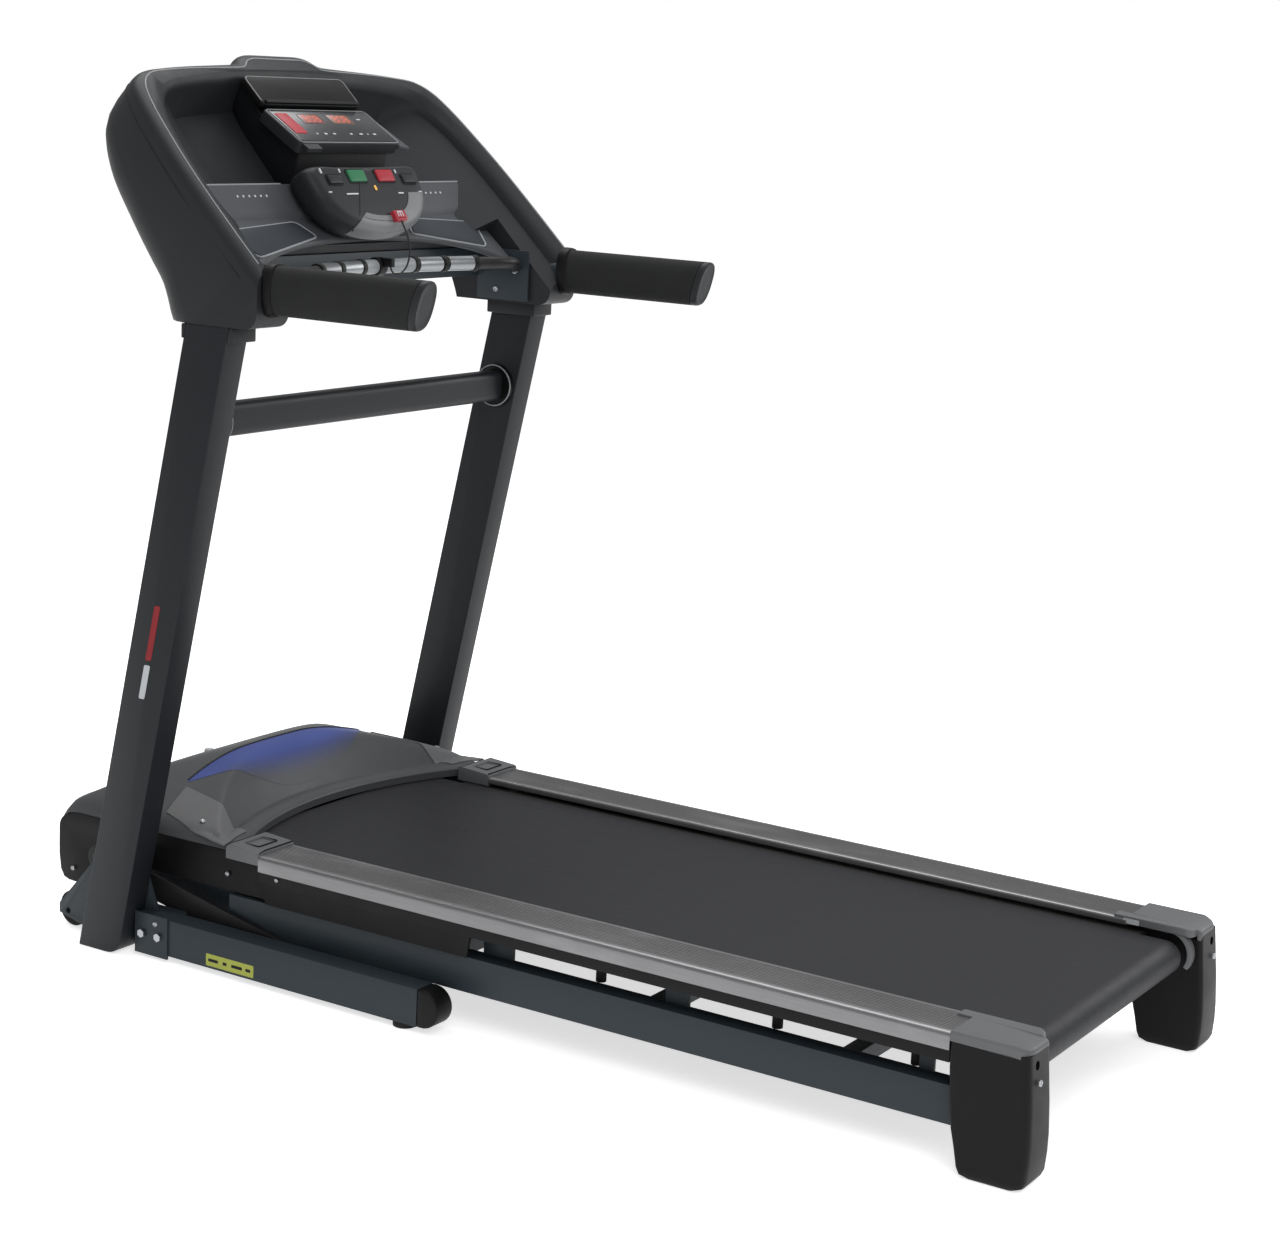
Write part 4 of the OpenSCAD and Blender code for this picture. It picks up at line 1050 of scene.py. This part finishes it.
def uprights():
    side = [(mast_front(0), 0), (mast_front(MAST_TOP), MAST_TOP),
            (mast_front(MAST_TOP) - MAST_DEPTH, MAST_TOP), (mast_front(0) - MAST_DEPTH, 0)]
    for name, sign in (("upright_left", -1), ("upright_right", 1)):
        post = Shell().across(rounded(side, [3, 0, 0, 26], 8), sign * MAST_IN, sign * MAST_OUT)
        post.finish(name + "_post", "base", "upright_paint", "upright_paint", [name], bevel=4.5, angle=30)
    accents = Shell()
    for low, high, slot in ((436, 492, 0), (500, 590, 1)):
        lean = [(mast_front(low) - 48, low), (mast_front(high) - 48, high), (mast_front(high) - 36, high),
                (mast_front(low) - 36, low)]
        accents.across(rounded(lean, 3, 3), -429, -428.3, slot)
    accents.finish("upright_accents", "base", ["mark_light", "accent_red"], "silver_plastic")
    mid = mast_front(CROSSBAR_Z) - MAST_DEPTH / 2
    bar = Shell().across(oblong(36, 53, 13, (mid, CROSSBAR_Z), 6), -MAST_IN, MAST_IN)
    bar.finish("crossbar_tube", "base", "upright_paint", "upright_paint", ["crossbar"])
    collars = Shell()
    collars.turned([(372, 30), (371, 35), (373, 37.4), (377, 38), (MAST_IN, 38)], (mid, CROSSBAR_Z))
    collars.mirrored().finish("crossbar_cups", "base", "black_plastic", "black_plastic", ["crossbar_collars"])
    hoops = Shell().tube([(371.6, mid + 36 * math.cos(a), CROSSBAR_Z + 36 * math.sin(a))
                          for a in (math.tau * k / 48 for k in range(48))], 1.3, 8, closed=True)
    hoops.mirrored().finish("crossbar_hoops", "base", "silver_plastic", "silver_plastic")
    refined("upright_boots", "console_plastic", 5.0)


# ---- base and linkage ------------------------------------------------------

def base_pieces():
    refined("base_frame", "frame_paint", 1.4)
    refined("base_end_caps", "black_plastic", 3.0)
    refined("console_bracket", "frame_paint", 0.8)
    refined("leveling_feet", "black_rubber", 1.2)
    refined("lift_frame", "black_paint", 1.2)
    refined("wheel_brackets", "black_paint", 1.0)
    plate = Shell().slab(oblong(98, 20, 2, (1354, 24)), lambda y, z, x: (x, y, z), -402.5, -401.9)
    plate.finish("side_plate", "base", "plate_yellow", "silver_plastic")
    bars = Shell()
    for y, w in ((1316, 10), (1339, 22), (1364, 8), (1388, 20)):
        bars.slab(oblong(w, 5, 1, (y, 24), 2), lambda a, z, x: (x, a, z), -402.7, -402.3)
    bars.finish("side_plate_bars", "base", "black_plastic", "black_plastic")
    for name, sign in (("transport_wheel_left", -1), ("transport_wheel_right", 1)):
        profile = [(346, 5.6), (346, 12), (347.5, 12), (348, 20), (347.2, 21), (347.2, 28), (349, 30),
                   (367, 30), (368.8, 28), (368.8, 21), (368, 20), (369.5, 12), (371, 12), (371, 5.6)]
        tyre = Shell().turned([(sign * x, r) for x, r in profile], (1725, 31), closed=True)
        tyre.finish(name + "_tyre", "wheel_left" if sign < 0 else "wheel_right", "black_rubber",
                    "black_rubber", [name])


# ---- deck ------------------------------------------------------------------

ROLLER_Z, FRONT_ROLLER, REAR_ROLLER = 156, 1470, 57
BELT_OUTER, BELT_INNER = 27.0, 25.2     # radii of the belt's two faces at the rollers


def belt(sizes):
    half = sizes.belt_width / MM / 2
    lines = []
    for r in (BELT_OUTER, BELT_INNER):
        line = []
        for centre, start in ((FRONT_ROLLER, -90), (REAR_ROLLER, 90)):
            line += [(centre + r * math.cos(a), ROLLER_Z + r * math.sin(a))
                     for a in (math.radians(start + k * 6) for k in range(31))]
        lines.append(line)
    outer, inner = lines
    edges = ((-half, inner), (-half, outer), (-half + 2, outer), (half - 2, outer), (half, outer),
             (half, inner))
    rows = [[(x, p[0], p[1]) for p in line] for x, line in edges]
    Shell().loft(rows, wrap=True).finish("belt_band", "deck", "belt_pvc", "belt_pvc", ["running_belt"])


def rails(sizes):
    outline = rounded([(270, 187), (270, 198), (359, 198), (359, 172), (356, 172), (356, 187)],
                      [1, 5, 8, 1, 1, 2], 6)
    for name, sign in (("rail_left", -1), ("rail_right", 1)):
        bar = Shell().loft([[(sign * p[0], y, p[1]) for p in outline] for y in (128, 1336)])
        bar.finish(name + "_bar", "deck", "rail_aluminium", "rail_aluminium", [name])
        row(name + "_ribs", "deck", "rail_aluminium", "rail_aluminium", sizes.rib_count,
            (sign * 282, 732, 198.0), (sign * 62 / (sizes.rib_count - 1), 0, 0), (1.6, 1206, 0.7))
    ends = rounded([(1336.4, 182), (1336.4, 203), (1397, 207), (1403, 199), (1403, 182)], [0, 6, 8, 3, 0])
    plate = Shell().across(ends, 270, 359)
    piece = plate.raw("rail_end_caps")
    hollow = rounded([(292, 1356), (334, 1356), (334, 1384), (292, 1384)], 3)
    carve(piece, Shell().slab(hollow, lambda x, y, z: (x, y, z), 203, 220).raw("hollow"))
    dress(piece, "deck", "cap_plastic", ["rail_end_plates"], bevel=2.0, angle=40)
    mirror_piece(piece)
    frames = Shell().tube([(p[0], p[1], 205.2) for p in rounded(
        [(290, 1354), (336, 1354), (336, 1386), (290, 1386)], 3)], 1.2, 6, closed=True)
    frames.mirrored().finish("rail_end_frames", "deck", "deep_plastic", "black_plastic")
    joints = Shell()
    for y in (1338, 1402):
        joints.tube([(x, y, 203.4 if x < 355 else 200) for x in (272, 300, 340, 356)], 1.2, 6)
    joints.mirrored().finish("rail_end_seams", "deck", "deep_plastic", "black_plastic")


def mirror_piece(piece):
    """Joins a piece and its mirror image into the same mesh."""
    work = bmesh.new()
    work.from_mesh(piece.data)
    made = bmesh.ops.duplicate(work, geom=work.verts[:] + work.edges[:] + work.faces[:])["geom"]
    for v in (g for g in made if isinstance(g, bmesh.types.BMVert)):
        v.co.x = -v.co.x
    bmesh.ops.reverse_faces(work, faces=[g for g in made if isinstance(g, bmesh.types.BMFace)])
    work.to_mesh(piece.data)
    work.free()


def rear_feet():
    levels = [(0, 18, 88, 10), (5, 7, 99, 14), (14, 3, 103, 15), (40, 1, 109, 15), (66, 1, 116, 15),
              (110, 4, 122, 14), (150, 8, 126, 13), (189, 12, 127.6, 12)]
    for name, sign in (("rear_foot_left", -1), ("rear_foot_right", 1)):
        rings = []
        for z, y0, y1, r in levels:
            outer = 368 - 0.0524 * z - (6 if z == 0 else 1.5 if z == 5 else 0)
            inner = 289 + (4 if z == 0 else 1 if z == 5 else 0)
            rings.append([(sign * p[0], p[1], z) for p in rounded(
                [(inner, y0), (outer, y0), (outer, y1), (inner, y1)], [r * 0.6, r, 5, 4], 6)])
        leg = Shell().loft(rings)
        hole = leg.raw(name + "_leg")
        drill = Shell()
        drill.loft([[(sign * 332 + 6.5 * math.cos(a), y, 172 + 6.5 * math.sin(a))
                     for a in (math.tau * k / 24 for k in range(24))] for y in (-4, 30)])
        carve(hole, drill.raw("drill"))
        dress(hole, "deck", "black_plastic", [name], angle=40)
    top = rounded([(289, 12), (361, 12), (361, 128), (289, 128)], [6, 26, 3, 2], 8)
    cap = Shell()
    cap.pill(top, lambda x, y, z: (x, y, z - max(0.0, 34 - y) * 0.3), 187, 202, 5)
    flange = rounded([(271, 26), (292, 20), (292, 150), (271, 150)], [8, 2, 2, 4], 5)
    cap.pill(flange, lambda x, y, z: (x, y, z - max(0.0, 34 - y) * 0.25), 190, 201.4, 3)
    cap.mirrored().finish("rear_foot_tops", "deck", "cap_plastic", "console_plastic")
    guard = Shell()
    rows = []
    for k in range(15):
        a = math.radians(100 + k * 8)
        rows.append([(x, 60 + r * math.cos(a), 157 + r * math.sin(a))
                     for x, r in ((272, 33), (289.5, 33), (289.5, 40), (274, 40))])
    guard.loft(rows)
    guard.mirrored().finish("roller_guards", "deck", "cap_plastic", "console_plastic", bevel=1.2)
    tag = Shell().slab(oblong(26, 8, 1, (120, 194), 2), lambda y, z, x: (x, y, z), 270.2, 270.9)
    tag.finish("rear_tag", "deck", "mark_light", "silver_plastic")


def deck_pieces():
    refined("deck_frame", "frame_paint", 1.2)
    refined("side_skirts", "black_plastic", 1.2)


# ---- hood ------------------------------------------------------------------

LIP_Y, LIP_R = 842.5, 637.5
CREST = table([(1380, 262), (1470, 275), (1540, 279), (1600, 277), (1640, 269), (1700, 246), (1755, 211)], 4)
BROW = table([(0, 283), (60, 281.5), (100, 277), (200, 254), (280, 228), (325, 208), (339, 190)], 4)
SLOPE = table([(637, 193), (642, 198), (655, 201), (667, 200), (671, 196), (675, 196), (679, 202), (690, 218),
               (705, 238), (727, 258), (757, 274), (790, 290), (840, 320), (1200, 400)], 2)


def softer(a, b, k=14.0):
    """The smaller of two heights, with the corner between them eased."""
    return (a + b - math.sqrt((a - b) ** 2 + k * k)) / 2


def hood_height(x, y):
    r = math.hypot(x, y - LIP_Y)
    return min(softer(softer(CREST(y), BROW(abs(x))), SLOPE(r), 5.0) + 3, 285)


def hood_skin():
    xs = [k * 9.0 for k in range(-36, 37)]
    xs = [-339, -337.5, -333] + [x for x in xs if abs(x) < 331] + [333, 337.5, 339]
    columns = []
    for x in xs:
        start = LIP_Y + math.sqrt(LIP_R ** 2 - x * x)
        edge = abs(x) == 339
        column = [(x, start + 1.5, 184)]
        for k in range(90):
            y = start + (1752 - start) * (k / 89) ** 1.15
            height = hood_height(x, y)
            column.append((x, y, min(height, 186) if edge else height))
        end = column[-1][2]
        for y, z in ((1764, 0.9), (1773, 0.66), (1779, 0.4), (1783, 0.18), (1785.6, -0.2), (1785.6, -0.6),
                     (1782, -0.95), (1774, -1.1), (1762, -1.15)):
            column.append((x, y, 160 + (end - 160) * z if z > 0 else 160 + 82 * z))
        columns.append(column)
    skin = Shell()
    skin.loft(columns, closed=False, caps=False)
    piece = skin.raw("hood_skin", closed=False)
    face_up(piece)
    dress(piece, "deck", "hood_plastic", ["motor_hood"], angle=40, wall=2.5)


def hood_sides():
    sides = Shell()
    cover = rounded([(1337, 121), (1337, 186), (1390, 187), (1750, 187), (1785, 172), (1785, 104), (1778, 80),
                     (1762, 66), (1716, 66), (1704, 120), (1660, 150), (1640, 121)],
                    [2, 2, 4, 10, 24, 10, 8, 8, 4, 14, 14, 8])
    sides.across(cover, 337.6, 340.3)
    sides.mirrored().finish("hood_sides", "deck", "black_plastic", "black_plastic", bevel=1.0)


def hood_wings():
    wings = Shell()
    rows = []
    for i in range(49):
        t = i / 48
        line = []
        for j in range(33):
            s = j / 32
            x = (357 - 40 * t) * (1 - s) + (282 - 34 * t) * s
            y = (1408 + 160 * t) * (1 - s) + (1426 + 160 * t) * s
            inner = hood_height(282 - 34 * t, 1426 + 160 * t) + 2.4
            line.append((x, y, max(203 + (inner - 203) * s, hood_height(min(x, 338), y) + 2.4)))
        rows.append(line)
    wings.loft(rows, closed=False, caps=False)
    wings.mirrored()
    wing = wings.raw("hood_wings", closed=False)
    work = bmesh.new()
    work.from_mesh(wing.data)
    bmesh.ops.reverse_faces(work, faces=[f for f in work.faces if f.normal.z < 0])
    work.to_mesh(wing.data)
    work.free()
    dress(wing, "deck", "wing_plastic", angle=40, wall=3.2, bevel=1.2)


def hood_label():
    def front(x):
        return 1612 - 12 * (x / 213) ** 2

    def rear(x):
        return 1526 + (front(x) - 1526) * (abs(x) / 236) ** 3

    sheet = Shell()
    rows = []
    for k in range(-26, 27):
        x = k * 9.0
        rows.append([(x, rear(x) + (front(x) - rear(x)) * j / 12,
                      hood_height(x, rear(x) + (front(x) - rear(x)) * j / 12) + 0.5) for j in range(13)])
    sheet.loft(rows, closed=False, caps=False)
    decal = sheet.raw("hood_label_sheet", closed=False)
    face_up(decal)
    dress(decal, "deck", "hood_label", angle=60)
    groove = Shell().tube([(x, front(x) + 1, hood_height(x, front(x)) + 0.3)
                           for x in (k * 6.0 for k in range(-38, 39))], 2.0, 8)
    groove.finish("hood_label_groove", "deck", "deep_plastic", "black_plastic")
    knob = Shell().pill(oblong(16, 16, 7.9, (-62, 1700), 6), lambda x, y, z: (x, y, z),
                        hood_height(-62, 1700) - 2, hood_height(-62, 1700) + 3.4, 1.6)
    knob.finish("hood_button", "deck", "mark_light", "silver_plastic")
    row("nose_vents", "deck", "black_plastic", "deep_plastic", 13, (-204, 1785.2, 135), (34, 0, 0),
        (20, 1.2, 5))


def fixings():
    side = 343.2
    wing = (318, 1488, max(202.0, hood_height(318, 1488) + 2.8))
    deck = [((332, 4.5, 148), (0, -1, 0), 1.0), ((side, 1412, 150), (1, 0, 0), 0.9),
            ((side, 1600, 165), (1, 0, 0), 0.9), ((side, 1750, 90), (1, 0, 0), 0.9),
            ((356, 1300, 165), (1, 0, 0), 0.8), (wing, (0, 0, 1), 1.1)]
    screws("deck_screws", "deck", "zinc_steel", mirrored_places(deck), 4.6, 2.0)
    base = [((345.2, 1372, 1092), (-1, 0, 0), 1.0), ((345.2, 1412, 1058), (-1, 0, 0), 1.0),
            ((406.2, 1508, 60), (1, 0, 0), 0.9)]
    screws("base_screws", "base", "zinc_steel", mirrored_places(base), 5.2, 2.2)


PLAIN = {"base_bolts": "zinc_steel", "console_board": "circuit_board", "handlebar_tubes": "frame_paint",
         "fold_frame": "frame_paint", "gas_cylinder": "black_paint", "gas_rod": "zinc_steel",
         "incline_motor": "motor_black", "incline_screw": "zinc_steel", "deck_board": "phenolic_board",
         "deck_cushions": "black_rubber", "front_roller": "zinc_steel", "rear_roller": "zinc_steel",
         "roller_axles": "zinc_steel", "belly_pan": "black_plastic", "drive_motor": "motor_black",
         "motor_rotor": "zinc_steel", "drive_belt": "black_rubber", "motor_controller": "circuit_board",
         "power_inlet": "black_plastic", "power_switch": "black_plastic"}


def dress_nodes():
    """Gives the CAD nodes that stay in view their finishes."""
    for node, finish in PLAIN.items():
        for slot in frame["nodes"][node].material_slots:
            slot.material = FINISH[finish]


# ---- add-on ----------------------------------------------------------------

class TreadmillSizes(bpy.types.PropertyGroup):
    """Sizes that a user may change."""
    belt_width: FloatProperty(name="Belt width", description="Width of the running belt",
                              default=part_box("running_belt")[1][0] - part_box("running_belt")[0][0],
                              unit="LENGTH")
    grip_width: FloatProperty(name="Grip width", description="Width of a handlebar grip", default=0.044,
                              unit="LENGTH")
    grip_height: FloatProperty(name="Grip height", description="Height of a handlebar grip", default=0.075,
                               unit="LENGTH")
    shell_round: FloatProperty(name="Rim rounding", description="Radius of the console rim's outer edge",
                               default=0.018, unit="LENGTH")
    rib_count: IntProperty(name="Rail ribs", description="Ribs along each side rail", default=12)
    lens: FloatProperty(name="Focal length", description="Focal length of the camera in millimetres",
                        default=73.17, unit="CAMERA")


class TreadmillTones(bpy.types.PropertyGroup):
    """Colours that a user may change."""
    frame_colour: FloatVectorProperty(name="Frame", description="Paint of the steel frame",
                                      default=(0.021, 0.028, 0.034), subtype="COLOR")
    upright_colour: FloatVectorProperty(name="Uprights", description="Paint of the uprights",
                                        default=(0.0105, 0.012, 0.0145), subtype="COLOR")
    hood_colour: FloatVectorProperty(name="Hood", description="Plastic of the motor hood",
                                     default=(0.062, 0.064, 0.067), subtype="COLOR")
    console_colour: FloatVectorProperty(name="Console", description="Plastic of the console shell",
                                        default=(0.016, 0.017, 0.0188), subtype="COLOR")
    black_colour: FloatVectorProperty(name="Black plastic", description="Plastic of caps, skirts and feet",
                                      default=(0.0028, 0.0028, 0.0030), subtype="COLOR")
    rail_colour: FloatVectorProperty(name="Rails", description="Anodised side rails",
                                     default=(0.20, 0.20, 0.205), subtype="COLOR")
    belt_colour: FloatVectorProperty(name="Belt", description="Face of the running belt",
                                     default=(0.016, 0.0165, 0.019), subtype="COLOR")


class Builder:
    """What the operators share: each runs its build and says when it is finished."""
    bl_options = {"REGISTER", "UNDO"}

    def execute(self, context):
        self.build(context.scene.treadmill_sizes, context.scene.treadmill_tones)
        return {"FINISHED"}


class TREADMILL_OT_finishes(Builder, bpy.types.Operator):
    """Makes every material"""
    bl_idname = "treadmill.finishes"
    bl_label = "Finishes"

    def build(self, sizes, tones):
        make_finishes(tones)
        dress_nodes()


class TREADMILL_OT_stage(Builder, bpy.types.Operator):
    """Makes the camera, the lights and the floor"""
    bl_idname = "treadmill.stage"
    bl_label = "Stage"

    def build(self, sizes, tones):
        make_stage(sizes)


class TREADMILL_OT_tether(Builder, bpy.types.Operator):
    """Makes the safety key's cord"""
    bl_idname = "treadmill.tether"
    bl_label = "Tether"

    def build(self, sizes, tones):
        make_tether()


class TREADMILL_OT_console_shell(Builder, bpy.types.Operator):
    """Makes the arched console shell"""
    bl_idname = "treadmill.console_shell"
    bl_label = "Console shell"

    def build(self, sizes, tones):
        console_shell(sizes)


class TREADMILL_OT_tray(Builder, bpy.types.Operator):
    """Makes the tray with its pads and vents"""
    bl_idname = "treadmill.tray"
    bl_label = "Tray"

    def build(self, sizes, tones):
        console_tray()


class TREADMILL_OT_display(Builder, bpy.types.Operator):
    """Makes the display and the reading rack"""
    bl_idname = "treadmill.display"
    bl_label = "Display"

    def build(self, sizes, tones):
        display()
        rack()


class TREADMILL_OT_keypad(Builder, bpy.types.Operator):
    """Makes the keypad housing, its keys and the safety key"""
    bl_idname = "treadmill.keypad"
    bl_label = "Keypad"

    def build(self, sizes, tones):
        keypad()


class TREADMILL_OT_handlebars(Builder, bpy.types.Operator):
    """Makes the handlebars and the pulse bar"""
    bl_idname = "treadmill.handlebars"
    bl_label = "Handlebars"

    def build(self, sizes, tones):
        handlebars(sizes)
        pulse_bar()


class TREADMILL_OT_uprights(Builder, bpy.types.Operator):
    """Makes the uprights and the crossbar"""
    bl_idname = "treadmill.uprights"
    bl_label = "Uprights"

    def build(self, sizes, tones):
        uprights()


class TREADMILL_OT_base(Builder, bpy.types.Operator):
    """Makes the base, its wheels and the lift frame"""
    bl_idname = "treadmill.base"
    bl_label = "Base"

    def build(self, sizes, tones):
        base_pieces()


class TREADMILL_OT_deck(Builder, bpy.types.Operator):
    """Makes the belt, the rails and the rear feet"""
    bl_idname = "treadmill.deck"
    bl_label = "Deck"

    def build(self, sizes, tones):
        belt(sizes)
        rails(sizes)
        rear_feet()
        deck_pieces()


class TREADMILL_OT_hood(Builder, bpy.types.Operator):
    """Makes the motor hood"""
    bl_idname = "treadmill.hood"
    bl_label = "Motor hood"

    def build(self, sizes, tones):
        hood_skin()
        hood_sides()
        hood_wings()
        hood_label()


class TREADMILL_OT_fixings(Builder, bpy.types.Operator):
    """Makes the screws"""
    bl_idname = "treadmill.fixings"
    bl_label = "Fixings"

    def build(self, sizes, tones):
        fixings()


OPERATORS = (TREADMILL_OT_finishes, TREADMILL_OT_stage, TREADMILL_OT_tether, TREADMILL_OT_console_shell,
             TREADMILL_OT_tray, TREADMILL_OT_display, TREADMILL_OT_keypad, TREADMILL_OT_handlebars,
             TREADMILL_OT_uprights, TREADMILL_OT_base, TREADMILL_OT_deck, TREADMILL_OT_hood,
             TREADMILL_OT_fixings)


class TREADMILL_PT_panel(bpy.types.Panel):
    """Lists the treadmill's pieces"""
    bl_idname = "TREADMILL_PT_panel"
    bl_label = "Treadmill"
    bl_space_type = "VIEW_3D"
    bl_region_type = "UI"
    bl_category = "Treadmill"

    def draw(self, context):
        for group in (context.scene.treadmill_sizes, context.scene.treadmill_tones):
            for name in group.__annotations__:
                self.layout.prop(group, name)
        for operator in OPERATORS:
            self.layout.operator(operator.bl_idname)


CLASSES = (TreadmillSizes, TreadmillTones, *OPERATORS, TREADMILL_PT_panel)


def register():
    for each in CLASSES:
        bpy.utils.register_class(each)
    bpy.types.Scene.treadmill_sizes = PointerProperty(type=TreadmillSizes)
    bpy.types.Scene.treadmill_tones = PointerProperty(type=TreadmillTones)


def unregister():
    del bpy.types.Scene.treadmill_sizes
    del bpy.types.Scene.treadmill_tones
    for each in reversed(CLASSES):
        bpy.utils.unregister_class(each)


def main():
    register()
    for operator in OPERATORS:
        getattr(bpy.ops.treadmill, operator.bl_idname.split(".")[1])()


if __name__ == "__main__":
    main()
